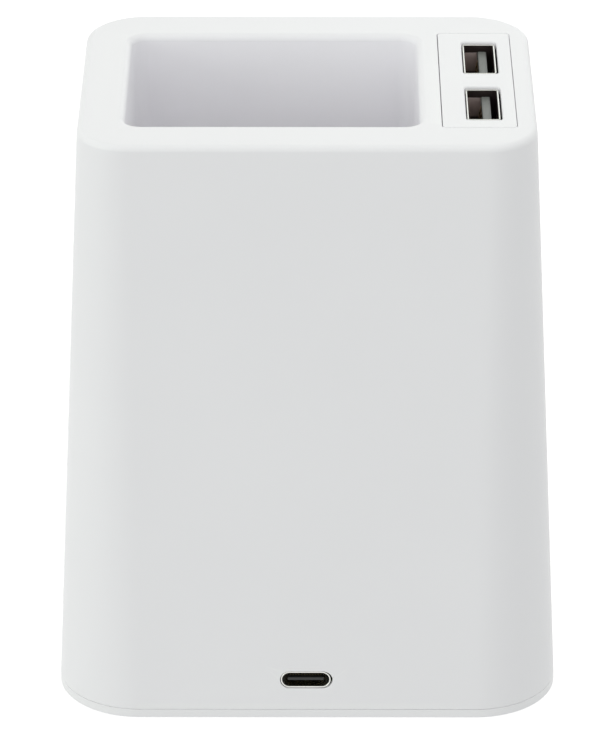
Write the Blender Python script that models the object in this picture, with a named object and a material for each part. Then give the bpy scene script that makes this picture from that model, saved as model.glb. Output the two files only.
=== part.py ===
# Desktop pen holder with a wireless phone charger behind its leaning front face.
# Metres, +Z up. The origin is on the desk, under the middle of the footprint.
# -Y is the back with the power inlet, +Y is the front where a phone leans.
# The model's own frame has y = 0 at the foot of the back face and z = 0 at the
# underside of the base plate; one empty carries everything to the origin above.

import math

import bmesh
import bpy
from mathutils import Vector

# Outer body
body_height = 0.1120
base_width = 0.0900
top_width = 0.0786
top_depth = 0.0581
back_setback = 0.0007
rest_lean = math.radians(20)
ledge_height = 0.0120
slot_depth = 0.0139
base_corner = 0.0148
back_top_corner = 0.0086
top_corner = 0.0105
top_round = 0.0011
toe_round = 0.0012
wall = 0.0022
rib_thickness = 0.0012
rib_foot = 0.0220
rib_shares = (-0.32, 0.0, 0.32)

# Phone lip along the front of the toe
lip_thickness = 0.0032
lip_setback = 0.0016
lip_height = 0.0050
lip_width = 0.0660
lip_round = 0.0012
lip_root = 0.0014

# Pen well, moulded in one with the housing
well_width = 0.0505
well_length = 0.0392
well_centre_x = -0.00595
well_back_margin = 0.0092
well_floor = 0.0160
well_corner = 0.0028
well_draft = math.radians(1.2)
well_wall = 0.0018
rim_round = 0.0012
rim_turn = math.radians(80)
floor_round = 0.0030

# Port strip let into the top face
strip_width = 0.0131
strip_length = 0.0417
strip_centre_x = 0.0295
strip_back_margin = 0.0080
strip_thickness = 0.0012
strip_corner = 0.0010
strip_ledge = 0.0012
strip_gap = 0.0002
strip_post_radius = 0.0019
strip_post_hole = 0.0008
strip_post_hole_depth = 0.0060
strip_post_pitch = 0.0058

# Upright USB-A sockets
port_offset_x = 0.0008
port_pitch = 0.0200
port_clearance = 0.00025
socket_opening_x = 0.00512
socket_opening_y = 0.0125
socket_metal = 0.0003
socket_corner = 0.0006
socket_height = 0.0140
socket_recess = 0.0004
insulator_gap = 0.0001
insulator_block = 0.0046
tongue_thickness = 0.00184
tongue_width = 0.0111
tongue_back_gap = 0.00095
tongue_tip_drop = 0.0008
contact_width = 0.0010
contact_thickness = 0.0003
contact_proud = 0.0001
contact_gap = 0.00005
contact_tip_drop = 0.0010
contact_shares = (-0.315, -0.09, 0.09, 0.315)

# Board that carries the two upright sockets
port_board_width = 0.0125
port_board_length = 0.0336
port_board_thickness = 0.0016
board_gap = 0.0001

# USB-C inlet
inlet_height = 0.00795
inlet_width = 0.00894
inlet_thickness = 0.00326
inlet_metal = 0.0003
inlet_length = 0.0073
inlet_recess = 0.0004
inlet_clearance = 0.00015
inlet_back_length = 0.0020
inlet_tongue_width = 0.0067
inlet_tongue_thickness = 0.0007
inlet_tongue_drop = 0.0009

# Base plate
base_thickness = 0.0021
base_round = 0.0008
seat_gap = 0.0003
rim_height = 0.0020
rim_thickness = 0.0013
pad_radius = 0.0032
pad_height = 0.0024
boss_radius = 0.0038

# Screws that hold the base plate
screw_head_radius = 0.0023
screw_head_height = 0.0016
screw_shank_radius = 0.0012
screw_length = 0.0075
screw_seat = 0.0021
screw_clearance = 0.0003
thread_gap = 0.0001
head_crown_share = 0.72
head_side_share = 0.55
screw_tip_share = 0.5

# Rubber feet
foot_radius = 0.0050
foot_thickness = 0.0015
foot_proud = 0.0008
foot_edge = 0.0004
foot_gap = 0.0002
foot_from_side = 0.0185
foot_from_end = 0.0095

# Main board and what it carries
board_width = 0.0520
board_length = 0.0400
board_thickness = 0.0016
board_from_wall = 0.0005
board_corner = 0.0015
board_hole_margin = 0.0035
board_hole = 0.0013
post_radius = 0.0026
peg_radius = 0.0010
peg_height = 0.0022
board_screw_head_radius = 0.0020
board_screw_head_height = 0.0013
board_screw_shank = 0.0009
board_screw_length = 0.0050
solder_gap = 0.00005
inductor_side = 0.0080
inductor_height = 0.0040
inductor_corner = 0.0018
controller_side = 0.0060
controller_height = 0.0010
driver_width = 0.0040
driver_length = 0.0050
driver_height = 0.0015
can_radius = 0.00315
can_height = 0.0058
can_groove = 0.0004
capacitor_width = 0.0032
capacitor_length = 0.0045
capacitor_height = 0.0022
inductor_place_share = (0.19, 0.38)
controller_place_share = (-0.23, 0.35)
driver_place_share = (-0.25, 0.64)
can_place_share = (0.37, 0.33)
capacitor_place_shares = ((-0.08, 0.78), (0.02, 0.78), (0.12, 0.78), (0.22, 0.78))
coil_pad_shares = ((-0.38, 0.72), (-0.29, 0.72))
port_pad_shares = ((0.42, 0.54), (0.42, 0.64))

# Phone panel let into the leaning face, and the coil stack behind it
panel_length = 0.0860
panel_thickness = 0.0012
panel_corner = 0.0080
panel_gap = 0.0002
panel_seat = 0.0020
panel_middle = 0.0535
panel_floor_gap = 0.0001
hook_width = 0.0060
hook_thickness = 0.0010
hook_barb = 0.0007
hook_shares = (-0.28, 0.28)
coil_middle = 0.0600
coil_turns = 9
coil_inner_radius = 0.0095
coil_wire = 0.00085
coil_pitch = 0.0013
coil_clearance = 0.0003
ferrite_radius = 0.0220
ferrite_hole = 0.0070
ferrite_thickness = 0.0008
holder_width = 0.0465
holder_thickness = 0.0014
holder_corner = 0.0030
holder_post_radius = 0.0022
holder_post_inset = 0.0023
holder_screw_head_radius = 0.0018
holder_screw_head_height = 0.0011
holder_screw_shank = 0.0009
holder_screw_length = 0.0036
holder_pilot_share = 0.7
holder_side_gap = 0.00175
panel_width = holder_width + 2 * (panel_seat + holder_side_gap)

# Grip pad on the ledge
ledge_pad_width = 0.0640
ledge_pad_length = 0.0080
ledge_pad_thickness = 0.0013
ledge_pad_recess = 0.0008
ledge_pad_corner = 0.0020
ledge_pad_gap = 0.0002

# Inner leads
coil_lead_wire = 0.0012
port_lead_wire = 0.0013
lead_rise = 0.0026
lead_step = 0.0030
coil_lead_low_share = 0.35
port_lead_across_share = 0.55
port_lead_climb_shares = ((0.3, 0.4), (0.7, 0.7))

# How each coil lead starts, in its own diameters: up the slope, and in behind the coil
coil_lead_starts = (
    ((0, 0), (-2, 0), (-5, 2), (-9, 5)),
    ((0, 0), (2, 0.2), (2.4, 2), (2.2, 3.5), (0.5, 5)),
)

# How finely round shapes are cut, and how far cutters run past a face
corner_steps = 8
small_corner_steps = 4
round_steps = 3
round_sides = 24
screw_sides = 14
loop_points = 24
overrun = 0.0010
shade_angle = math.radians(40)


def mix(start, end, share):
    return start + (end - start) * share


def half_width_at(z):
    return mix(base_width, top_width, z / body_height) / 2


def back_y_at(z):
    return back_setback * z / body_height


def face_y_at(z):
    """Where the leaning phone face is at height z."""
    return back_setback + top_depth + (body_height - z) * math.tan(rest_lean)


def back_corner_at(z):
    return mix(base_corner, back_top_corner, z / body_height)


face_foot_y = face_y_at(ledge_height)
base_depth = face_foot_y + slot_depth + lip_thickness + lip_setback


def arc(centre_x, centre_y, radius, start_degrees, steps, front_draw=0):
    """A quarter turn of points, anticlockwise from the start angle.
    A front draw pulls its foremost point in, and fades to nothing at the side."""
    points = []
    for i in range(steps + 1):
        angle = math.radians(start_degrees + 90 * i / steps)
        reach = radius - front_draw * math.sin(angle)
        points.append((centre_x + reach * math.cos(angle), centre_y + reach * math.sin(angle)))
    return points


def rounded_rectangle(width, length, corner, centre_x=0, centre_y=0, steps=small_corner_steps):
    half_x = width / 2 - corner
    half_y = length / 2 - corner
    return (
        arc(centre_x + half_x, centre_y - half_y, corner, -90, steps)
        + arc(centre_x + half_x, centre_y + half_y, corner, 0, steps)
        + arc(centre_x - half_x, centre_y + half_y, corner, 90, steps)
        + arc(centre_x - half_x, centre_y - half_y, corner, 180, steps)
    )


def body_outline(z, inset):
    """Corner arcs of the upper body at height z: back right, front right, front left, back left."""
    half = half_width_at(z) - inset
    back = back_y_at(z) + inset
    front = face_y_at(z) - inset / math.cos(rest_lean)
    back_corner = back_corner_at(z) - inset
    front_corner = top_corner - inset
    return [
        arc(half - back_corner, back + back_corner, back_corner, -90, corner_steps),
        arc(half - front_corner, front - front_corner, front_corner, 0, corner_steps),
        arc(front_corner - half, front - front_corner, front_corner, 90, corner_steps),
        arc(back_corner - half, back + back_corner, back_corner, 180, corner_steps),
    ]


def toe_outline(z, inset, join_y, edge=0):
    """The same for the wider foot, with a point on each side where the upper body starts.
    Edge draws in the front, and less and less of the corners towards the sides."""
    half = half_width_at(z) - inset
    back = back_y_at(z) + inset
    back_corner = back_corner_at(z) - inset
    toe_corner = base_corner - inset
    front_centre_y = base_depth - inset - toe_corner
    return [
        arc(half - back_corner, back + back_corner, back_corner, -90, corner_steps),
        [(half, join_y)],
        arc(half - toe_corner, front_centre_y, toe_corner, 0, corner_steps, edge),
        arc(toe_corner - half, front_centre_y, toe_corner, 90, corner_steps, edge),
        [(-half, join_y)],
        arc(back_corner - half, back + back_corner, back_corner, 180, corner_steps),
    ]


def add_ring(shape, points, z):
    return [shape.verts.new((x, y, z)) for x, y in points]


def bridge(shape, lower, upper):
    """Side faces between two rings of the same count, facing out."""
    count = len(lower)
    for i in range(count):
        after = (i + 1) % count
        shape.faces.new((lower[i], lower[after], upper[after], upper[i]))


def round_over(radius, steps=round_steps):
    """(inset, drop) pairs of a quarter round, from its side up to its top."""
    turn = [math.radians(90 * i / steps) for i in range(1, steps + 1)]
    return [(radius * (1 - math.cos(a)), radius * (1 - math.sin(a))) for a in turn]


def body_shape(inset, bottom, ledge, top, edge, rim):
    """The closed outer form: a foot with its toe, and above the ledge the body with its leaning face."""
    shape = bmesh.new()
    inner_corner = top_corner - inset
    join_y = face_y_at(ledge) - inset / math.cos(rest_lean) - inner_corner
    levels = [(bottom, 0), (ledge - edge, 0)]
    if edge:
        levels += [(ledge - drop, draw) for draw, drop in round_over(edge)]
    lower = None
    for z, draw in levels:
        parts = toe_outline(z, inset, join_y, draw)
        ring = [add_ring(shape, points, z) for points in parts]
        flat = sum(ring, [])
        if lower:
            bridge(shape, lower, flat)
        else:
            shape.faces.new(list(reversed(flat)))
        lower = flat
    back_right, right_join, toe_right, toe_left, left_join, back_left = ring
    _, front_right_points, front_left_points, _ = body_outline(ledge, inset)
    front_right = right_join + add_ring(shape, front_right_points[1:], ledge)
    front_left = add_ring(shape, front_left_points[:-1], ledge) + left_join
    shape.faces.new(
        right_join + toe_right + toe_left + left_join + list(reversed(front_right[1:] + front_left[:-1]))
    )
    lower = back_right + front_right + front_left + back_left
    draws = [(0, rim)]
    if rim:
        draws += round_over(rim)
    for draw, drop in draws:
        points = sum(body_outline(top - drop, inset + draw), [])
        upper = add_ring(shape, points, top - drop)
        bridge(shape, lower, upper)
        lower = upper
    shape.faces.new(lower)
    return shape


def loft(rings):
    """A closed form through rings of (points, z), lowest first."""
    shape = bmesh.new()
    made = [add_ring(shape, points, z) for points, z in rings]
    shape.faces.new(list(reversed(made[0])))
    for lower, upper in zip(made, made[1:]):
        bridge(shape, lower, upper)
    shape.faces.new(made[-1])
    return shape


def prism(points, bottom, top):
    return loft([(points, bottom), (points, top)])


def block(width, length, bottom, top, centre_x=0, centre_y=0):
    half_x = width / 2
    half_y = length / 2
    corners = [
        (centre_x + half_x, centre_y - half_y),
        (centre_x + half_x, centre_y + half_y),
        (centre_x - half_x, centre_y + half_y),
        (centre_x - half_x, centre_y - half_y),
    ]
    return prism(corners, bottom, top)


def circle(radius, centre_x=0, centre_y=0, sides=round_sides):
    turn = [2 * math.pi * i / sides for i in range(sides)]
    return [(centre_x + radius * math.cos(a), centre_y + radius * math.sin(a)) for a in turn]


def turned(profile, centre_x=0, centre_y=0, sides=round_sides):
    """A solid of revolution about an upright axis, from (radius, z) pairs, lowest first."""
    return loft([(circle(radius, centre_x, centre_y, sides), z) for radius, z in profile])


def place(name, shape, frame, material=None):
    """Turns a shape into a named object in a frame, with its curved faces shaded smooth."""
    mesh = bpy.data.meshes.new(name)
    shape.to_mesh(mesh)
    shape.free()
    mesh.shade_smooth()
    mesh.set_sharp_from_angle(angle=shade_angle)
    made = bpy.data.objects.new(name, mesh)
    bpy.context.scene.collection.objects.link(made)
    made.parent = frame
    if material:
        mesh.materials.append(material)
    return made


def boolean(target, operation, name, shape, frame=None):
    """Cuts a shape from the target or joins it on, through a hidden helper object."""
    helper = place(name, shape, frame or target.parent)
    helper.hide_render = True
    helper.display_type = "WIRE"
    modifier = target.modifiers.new(name, "BOOLEAN")
    modifier.operation = operation
    modifier.object = helper
    return helper


def cut(target, name, shape, frame=None):
    return boolean(target, "DIFFERENCE", name, shape, frame)


def join(target, name, shape, frame=None):
    return boolean(target, "UNION", name, shape, frame)


def settle_cuts():
    """Turns each piece and its cuts into one mesh, so that the edges of the cuts are shaded by angle too."""
    graph = bpy.context.evaluated_depsgraph_get()
    pieces = [piece for piece in bpy.data.objects if piece.modifiers and not piece.hide_render]
    helpers = [helper for helper in bpy.data.objects if helper.hide_render]
    evaluated = [piece.evaluated_get(graph) for piece in pieces]
    solids = [bpy.data.meshes.new_from_object(whole, depsgraph=graph) for whole in evaluated]
    for piece, solid in zip(pieces, solids):
        piece.modifiers.clear()
        piece.data = solid
        solid.name = piece.name
        solid.set_sharp_from_angle(angle=shade_angle)
        flats = piece.modifiers.new("flat_shading", "WEIGHTED_NORMAL")
        flats.keep_sharp = True
    for helper in helpers:
        bpy.data.objects.remove(helper)


def make_material(name, colour, roughness, metallic=0.0):
    made = bpy.data.materials.new(name)
    made.use_nodes = True
    surface = made.node_tree.nodes["Principled BSDF"]
    surface.inputs["Base Color"].default_value = (*colour, 1)
    surface.inputs["Roughness"].default_value = roughness
    surface.inputs["Metallic"].default_value = metallic
    made.diffuse_color = (*colour, 1)
    return made


def make_frame(name, parent=None):
    made = bpy.data.objects.new(name, None)
    bpy.context.scene.collection.objects.link(made)
    made.parent = parent
    return made


def screw_places():
    """The four base screws, each on the diagonal of its corner."""
    reach = base_corner - wall - seat_gap - pad_radius
    along = reach * math.cos(math.radians(45))
    x = base_width / 2 - base_corner + along
    back = base_corner - along
    front = base_depth - back
    return [(side * x, y) for y in (back, front) for side in (-1, 1)]


def foot_places():
    x = base_width / 2 - foot_from_side
    return [(side * x, y) for y in (foot_from_end, base_depth - foot_from_end) for side in (-1, 1)]


well_back = back_setback + well_back_margin
well_centre_y = well_back + well_length / 2


def well_outline(z, grow):
    """The well's section at height z: it narrows with depth, and grow widens it all round."""
    narrowed = (body_height - z) * math.tan(well_draft)
    spread = 2 * (grow - narrowed)
    corner = well_corner + max(grow, 0)
    return rounded_rectangle(
        well_width + spread, well_length + spread, corner, well_centre_x, well_centre_y, small_corner_steps
    )


def well_cutter():
    """The room in the well, from its rounded floor up to its rounded rim."""
    rings = [
        (well_outline(well_floor + rise, -draw), well_floor + rise)
        for draw, rise in reversed(round_over(floor_round))
    ]
    rings.append((well_outline(well_floor + floor_round, 0), well_floor + floor_round))
    for step in range(round_steps + 1):
        turn = rim_turn * step / round_steps
        grow = rim_round * (1 - math.cos(turn))
        z = body_height - rim_round * (1 - math.sin(turn))
        rings.append((well_outline(z, grow), z))
    rings.append((well_outline(body_height, rim_round), body_height + overrun))
    return loft(rings)


strip_centre_y = back_setback + strip_back_margin + strip_length / 2
port_x = strip_centre_x + port_offset_x
port_ys = [strip_centre_y + side * port_pitch / 2 for side in (1, -1)]
socket_width = socket_opening_x + 2 * socket_metal
socket_length = socket_opening_y + 2 * socket_metal
socket_top = body_height - socket_recess
socket_foot = socket_top - socket_height
port_board_top = socket_foot - board_gap
strip_post_xs = [strip_centre_x + side * strip_post_pitch / 2 for side in (-1, 1)]
inlet_face_y = back_y_at(inlet_height)
board_top = inlet_height - inlet_thickness / 2 - solder_gap
board_bottom = board_top - board_thickness
board_back = back_y_at(board_top) + wall + board_from_wall
board_centre_y = board_back + board_length / 2


def board_place(share):
    """A place on the main board: x as a share of its width from the middle, y as a share of its length."""
    return board_width * share[0], board_back + board_length * share[1]


def board_holes():
    """The four fixing holes: screws in the first and last, pegs in the others."""
    x = board_width / 2 - board_hole_margin
    ys = (board_back + board_hole_margin, board_back + board_length - board_hole_margin)
    return [(side * x, y) for y in ys for side in (-1, 1)]


def on_face(up):
    """A point of the phone face, at a distance up the slope from the ledge."""
    z = ledge_height + up * math.cos(rest_lean)
    return Vector((0, face_y_at(z), z))


def face_point(frame, x, up, depth):
    """A point of the body's frame, from a frame on the face: x, up the slope and in behind the face."""
    out = Vector((0, math.cos(rest_lean), math.sin(rest_lean)))
    along = Vector((0, -math.sin(rest_lean), math.cos(rest_lean)))
    return frame.location + Vector((-x, 0, 0)) + along * up - out * depth


def make_housing(frame, face_frame, white):
    """One moulding: the tapering skin, the pen well, the toe with its lip, bosses and ribs."""
    outer = body_shape(0, base_thickness + seat_gap, ledge_height, body_height, toe_round, top_round)
    housing = place("housing", outer, frame, white)

    lip_y = face_foot_y + slot_depth + lip_thickness / 2
    lip_top = ledge_height + lip_height
    lip_rings = [(0, ledge_height - lip_root), (0, lip_top - lip_round)]
    lip_rings += [(draw, lip_top - drop) for draw, drop in round_over(lip_round)]
    lip_form = loft(
        [
            (
                rounded_rectangle(
                    lip_width - 2 * draw, lip_thickness - 2 * draw, lip_thickness / 2 - draw, 0, lip_y
                ),
                z,
            )
            for draw, z in lip_rings
        ]
    )
    join(housing, "lip_form", lip_form)

    core_shape = body_shape(wall, base_thickness - overrun, ledge_height - wall, body_height - wall, 0, 0)
    core = cut(housing, "core", core_shape)
    outer_well = loft(
        [
            (well_outline(z, well_wall), z)
            for z in (well_floor - well_wall, body_height - wall + overrun / 2)
        ]
    )
    cut(core, "well_skin", outer_well)
    boss_foot = base_thickness + pad_height + seat_gap
    for number, (x, y) in enumerate(screw_places(), 1):
        boss = turned([(boss_radius, boss_foot), (boss_radius, body_height)], x, y, screw_sides)
        cut(core, f"boss_form_{number}", boss)
    for number, share in enumerate(rib_shares, 1):
        rib = block(
            rib_thickness,
            well_back + well_wall,
            rib_foot,
            body_height,
            well_centre_x + well_width * share,
            well_back / 2,
        )
        cut(core, f"rib_form_{number}", rib)

    cut(housing, "well", well_cutter())
    bore = screw_shank_radius + thread_gap
    depth = screw_seat_z() + screw_length + seat_gap
    for number, (x, y) in enumerate(screw_places(), 1):
        pilot = turned([(bore, boss_foot - overrun), (bore, depth)], x, y, screw_sides)
        cut(housing, f"pilot_{number}", pilot)

    recess = rounded_rectangle(strip_width, strip_length, strip_corner, strip_centre_x, strip_centre_y)
    recess_floor = body_height - strip_thickness - strip_gap / 2
    cut(housing, "strip_recess", prism(recess, recess_floor, body_height + overrun))
    window = rounded_rectangle(
        strip_width - 2 * strip_ledge,
        strip_length - 2 * strip_ledge,
        strip_corner,
        strip_centre_x,
        strip_centre_y,
    )
    cut(housing, "strip_window", prism(window, body_height - wall - overrun, body_height))

    inlet_hole = lying_slot(
        inlet_width + 2 * inlet_clearance,
        inlet_thickness + 2 * inlet_clearance,
        inlet_face_y - overrun,
        inlet_face_y + wall + overrun,
    )
    cut(housing, "inlet_hole", inlet_hole)

    rebate = rounded_rectangle(
        panel_width + 2 * panel_gap,
        panel_length + 2 * panel_gap,
        panel_corner + panel_gap,
        steps=corner_steps,
    )
    cut(housing, "panel_rebate", prism(rebate, -panel_thickness - panel_floor_gap, overrun), face_frame)
    opening = rounded_rectangle(
        panel_width - 2 * panel_seat, panel_length - 2 * panel_seat, panel_corner - panel_seat
    )
    cut(housing, "panel_window", prism(opening, -wall - overrun, 0), face_frame)

    pad_recess = rounded_rectangle(
        ledge_pad_width + 2 * ledge_pad_gap,
        ledge_pad_length + 2 * ledge_pad_gap,
        ledge_pad_corner + ledge_pad_gap,
        0,
        face_foot_y + slot_depth / 2,
    )
    cut(housing, "ledge_recess", prism(pad_recess, ledge_height - ledge_pad_recess, ledge_height + overrun))
    return housing


def lying_slot(width, thickness, back, front):
    """A bar of stadium section along Y, centred on the inlet."""
    outline = rounded_rectangle(width, thickness, thickness / 2, 0, 0, corner_steps // 2)
    shape = bmesh.new()
    # The section is drawn in X and Z, so it runs clockwise seen from the front.
    rings = [[shape.verts.new((-x, y, z + inlet_height)) for x, z in outline] for y in (back, front)]
    shape.faces.new(list(reversed(rings[0])))
    bridge(shape, rings[0], rings[1])
    shape.faces.new(rings[1])
    return shape


def screw_seat_z():
    """The underside of a base screw's head bears here, inside its counterbore."""
    return base_thickness + pad_height - screw_seat


def make_base_plate(frame, white):
    """Bottom cover with its locating rim, screw pads, board posts and foot recesses."""
    join_y = base_depth / 2
    levels = [(draw, drop) for draw, drop in round_over(base_round)]
    rings = [(sum(toe_outline(0, draw, join_y), []), drop) for draw, drop in reversed(levels)]
    rings.append((sum(toe_outline(base_round, 0, join_y), []), base_round))
    rings.append((sum(toe_outline(base_thickness, 0, join_y), []), base_thickness))
    plate = place("base_plate", loft(rings), frame, white)

    rim_top = base_thickness + rim_height
    outer_inset = wall + seat_gap
    outer = sum(toe_outline(base_thickness, outer_inset, join_y), [])
    inner = sum(toe_outline(base_thickness, outer_inset + rim_thickness, join_y), [])
    rim = join(plate, "rim_form", prism(outer, base_thickness / 2, rim_top))
    cut(rim, "rim_hollow", prism(inner, base_thickness, rim_top + overrun))
    for number, (x, y) in enumerate(screw_places(), 1):
        pad_top = base_thickness + pad_height
        pad = turned([(pad_radius, base_thickness / 2), (pad_radius, pad_top)], x, y, screw_sides)
        join(plate, f"pad_{number}", pad)
        head_bore = screw_head_radius + screw_clearance
        shank_bore = screw_shank_radius + screw_clearance
        hole = turned(
            [
                (head_bore, -overrun),
                (head_bore, screw_seat_z()),
                (shank_bore, screw_seat_z()),
                (shank_bore, pad_top + overrun),
            ],
            x,
            y,
            screw_sides,
        )
        cut(plate, f"screw_hole_{number}", hole)
    for number, (x, y) in enumerate(foot_places(), 1):
        recess = turned(
            [(foot_radius + foot_gap, -overrun), (foot_radius + foot_gap, foot_recess())], x, y
        )
        cut(plate, f"foot_recess_{number}", recess)
    post_top = board_bottom - board_gap
    for number, (x, y) in enumerate(board_holes(), 1):
        post = turned([(post_radius, base_thickness / 2), (post_radius, post_top)], x, y, screw_sides)
        join(plate, f"post_{number}", post)
        if number in (2, 3):
            peg_top = post_top + peg_height
            peg = turned([(peg_radius, post_top - overrun), (peg_radius, peg_top)], x, y, screw_sides)
            join(plate, f"peg_{number}", peg)
        else:
            bore = board_screw_shank + thread_gap
            pilot = turned([(bore, base_thickness), (bore, post_top + overrun)], x, y, screw_sides)
            cut(plate, f"post_pilot_{number}", pilot)
    return plate


def foot_recess():
    return foot_thickness - foot_proud + foot_gap / 2


def make_foot(number, x, y, frame, rubber):
    bottom = -foot_proud
    profile = [
        (foot_radius - foot_edge, bottom),
        (foot_radius, bottom + foot_edge),
        (foot_radius, bottom + foot_thickness),
    ]
    return place(f"foot_{number}", turned(profile, x, y), frame, rubber)


def screw_shape(head_radius, head_height, shank_radius, length):
    """A pan-head screw with its head's bearing face at z = 0 and its tip up."""
    return turned(
        [
            (head_radius * head_crown_share, -head_height),
            (head_radius, -head_height * head_side_share),
            (head_radius, 0),
            (shank_radius, 0),
            (shank_radius, length - shank_radius),
            (shank_radius * screw_tip_share, length),
        ],
        sides=screw_sides,
    )


def make_screw(name, sizes, location, frame, steel, turn=0.0):
    made = place(name, screw_shape(*sizes), frame, steel)
    made.location = location
    made.rotation_euler = (turn, 0, 0)
    return made


def make_port_strip(frame, white):
    """Cover strip with two socket windows, and two posts that carry the port board."""
    top = body_height
    bottom = top - strip_thickness
    outline = rounded_rectangle(
        strip_width - 2 * strip_gap,
        strip_length - 2 * strip_gap,
        strip_corner - strip_gap,
        strip_centre_x,
        strip_centre_y,
    )
    strip = place("port_strip", prism(outline, bottom, top), frame, white)
    for number, y in enumerate(port_ys, 1):
        window = rounded_rectangle(
            socket_width + 2 * port_clearance,
            socket_length + 2 * port_clearance,
            socket_corner + port_clearance,
            port_x,
            y,
        )
        cut(strip, f"socket_window_{number}", prism(window, bottom - overrun, top + overrun))
    post_foot = port_board_top + board_gap
    for number, x in enumerate(strip_post_xs, 1):
        post = turned(
            [(strip_post_radius, post_foot), (strip_post_radius, bottom + strip_thickness / 2)],
            x,
            strip_centre_y,
            screw_sides,
        )
        join(strip, f"strip_post_{number}", post)
        bore = turned(
            [(strip_post_hole, post_foot - overrun), (strip_post_hole, post_foot + strip_post_hole_depth)],
            x,
            strip_centre_y,
            screw_sides,
        )
        cut(strip, f"strip_post_hole_{number}", bore)
    return strip


tongue_back_x = port_x + socket_opening_x / 2 - tongue_back_gap
tongue_face_x = tongue_back_x - tongue_thickness


def contact_y(port_y, share):
    return port_y + tongue_width * share


def make_socket(number, port_y, frame, tin, grey, gold):
    """An upright USB-A socket: folded metal shell, moulded insulator with its tongue, four contacts."""
    outer = rounded_rectangle(socket_width, socket_length, socket_corner, port_x, port_y)
    shell = place(f"usb_a_shell_{number}", prism(outer, socket_foot, socket_top), frame, tin)
    inner = rounded_rectangle(
        socket_opening_x, socket_opening_y, socket_corner - socket_metal, port_x, port_y
    )
    cut(shell, f"shell_bore_{number}", prism(inner, socket_foot - overrun, socket_top + overrun))

    block_top = socket_foot + insulator_block
    plug = rounded_rectangle(
        socket_opening_x - 2 * insulator_gap,
        socket_opening_y - 2 * insulator_gap,
        socket_corner - socket_metal,
        port_x,
        port_y,
    )
    insulator = place(f"usb_a_insulator_{number}", prism(plug, socket_foot, block_top), frame, grey)
    tongue_x = (tongue_back_x + tongue_face_x) / 2
    tongue_top = socket_top - tongue_tip_drop
    tongue = block(tongue_thickness, tongue_width, block_top - overrun, tongue_top, tongue_x, port_y)
    join(insulator, f"tongue_{number}", tongue)

    groove_depth = contact_thickness - contact_proud + contact_gap
    groove_width = contact_width + 2 * contact_gap
    groove_front = tongue_face_x - contact_proud - contact_gap
    groove_x = (groove_front + tongue_face_x + groove_depth) / 2
    contact_x = tongue_face_x - contact_proud + contact_thickness / 2
    for place_number, share in enumerate(contact_shares, 1):
        y = contact_y(port_y, share)
        groove = block(
            contact_proud + contact_gap + groove_depth,
            groove_width,
            socket_foot - overrun,
            tongue_top - contact_tip_drop + contact_gap,
            groove_x,
            y,
        )
        cut(insulator, f"groove_{number}_{place_number}", groove)
        contact = block(
            contact_thickness,
            contact_width,
            socket_foot + contact_gap,
            tongue_top - contact_tip_drop,
            contact_x,
            y,
        )
        place(f"usb_a_contact_{number}_{place_number}", contact, frame, gold)


def make_port_board(frame, green):
    outline = rounded_rectangle(
        port_board_width, port_board_length, board_corner / 2, strip_centre_x, strip_centre_y
    )
    bottom = port_board_top - port_board_thickness
    board = place("port_board", prism(outline, bottom, port_board_top), frame, green)
    for number, x in enumerate(strip_post_xs, 1):
        bore = board_screw_shank + screw_clearance
        hole = turned(
            [(bore, bottom - overrun), (bore, port_board_top + overrun)], x, strip_centre_y, screw_sides
        )
        cut(board, f"port_board_hole_{number}", hole)
    return board


def make_inlet(frame, tin, black):
    """USB-C receptacle: stadium shell, and the insulator with its thin middle tongue."""
    mouth = inlet_face_y + inlet_recess
    back = mouth + inlet_length
    shell = place("usb_c_shell", lying_slot(inlet_width, inlet_thickness, mouth, back), frame, tin)
    bore = lying_slot(
        inlet_width - 2 * inlet_metal, inlet_thickness - 2 * inlet_metal, mouth - overrun, back + overrun
    )
    cut(shell, "inlet_bore", bore)
    inner_gap = 2 * (inlet_metal + insulator_gap)
    plug = lying_slot(
        inlet_width - inner_gap, inlet_thickness - inner_gap, back - inlet_back_length, back
    )
    insulator = place("usb_c_insulator", plug, frame, black)
    tongue_mouth = mouth + inlet_tongue_drop
    tongue_back = back - inlet_back_length / 2
    tongue = block(
        inlet_tongue_width,
        tongue_back - tongue_mouth,
        inlet_height - inlet_tongue_thickness / 2,
        inlet_height + inlet_tongue_thickness / 2,
        0,
        (tongue_mouth + tongue_back) / 2,
    )
    join(insulator, "inlet_tongue", tongue)


def make_main_board(frame, green):
    outline = rounded_rectangle(board_width, board_length, board_corner, 0, board_centre_y)
    board = place("main_board", prism(outline, board_bottom, board_top), frame, green)
    ends = [(board_hole, board_bottom - overrun), (board_hole, board_top + overrun)]
    for number, (x, y) in enumerate(board_holes(), 1):
        cut(board, f"board_hole_{number}", turned(ends, x, y, screw_sides))
    return board


def make_board_parts(frame, black, ferrite, aluminium, tan):
    """What stands on the main board: inductor, two chips, the can and the resonance capacitors."""
    foot = board_top + solder_gap
    x, y = board_place(inductor_place_share)
    side = rounded_rectangle(inductor_side, inductor_side, inductor_corner, x, y)
    place("power_inductor", prism(side, foot, foot + inductor_height), frame, ferrite)
    x, y = board_place(controller_place_share)
    place(
        "controller_chip",
        block(controller_side, controller_side, foot, foot + controller_height, x, y),
        frame,
        black,
    )
    x, y = board_place(driver_place_share)
    place(
        "driver_chip", block(driver_width, driver_length, foot, foot + driver_height, x, y), frame, black
    )
    x, y = board_place(can_place_share)
    waist = foot + can_height / 4
    can = turned(
        [
            (can_radius, foot),
            (can_radius, waist - can_groove),
            (can_radius - can_groove, waist),
            (can_radius, waist + can_groove),
            (can_radius, foot + can_height - can_groove),
            (can_radius - can_groove, foot + can_height),
        ],
        x,
        y,
    )
    place("bulk_capacitor", can, frame, aluminium)
    for number, share in enumerate(capacitor_place_shares, 1):
        x, y = board_place(share)
        place(
            f"resonance_capacitor_{number}",
            block(capacitor_width, capacitor_length, foot, foot + capacitor_height, x, y),
            frame,
            tan,
        )


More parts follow.
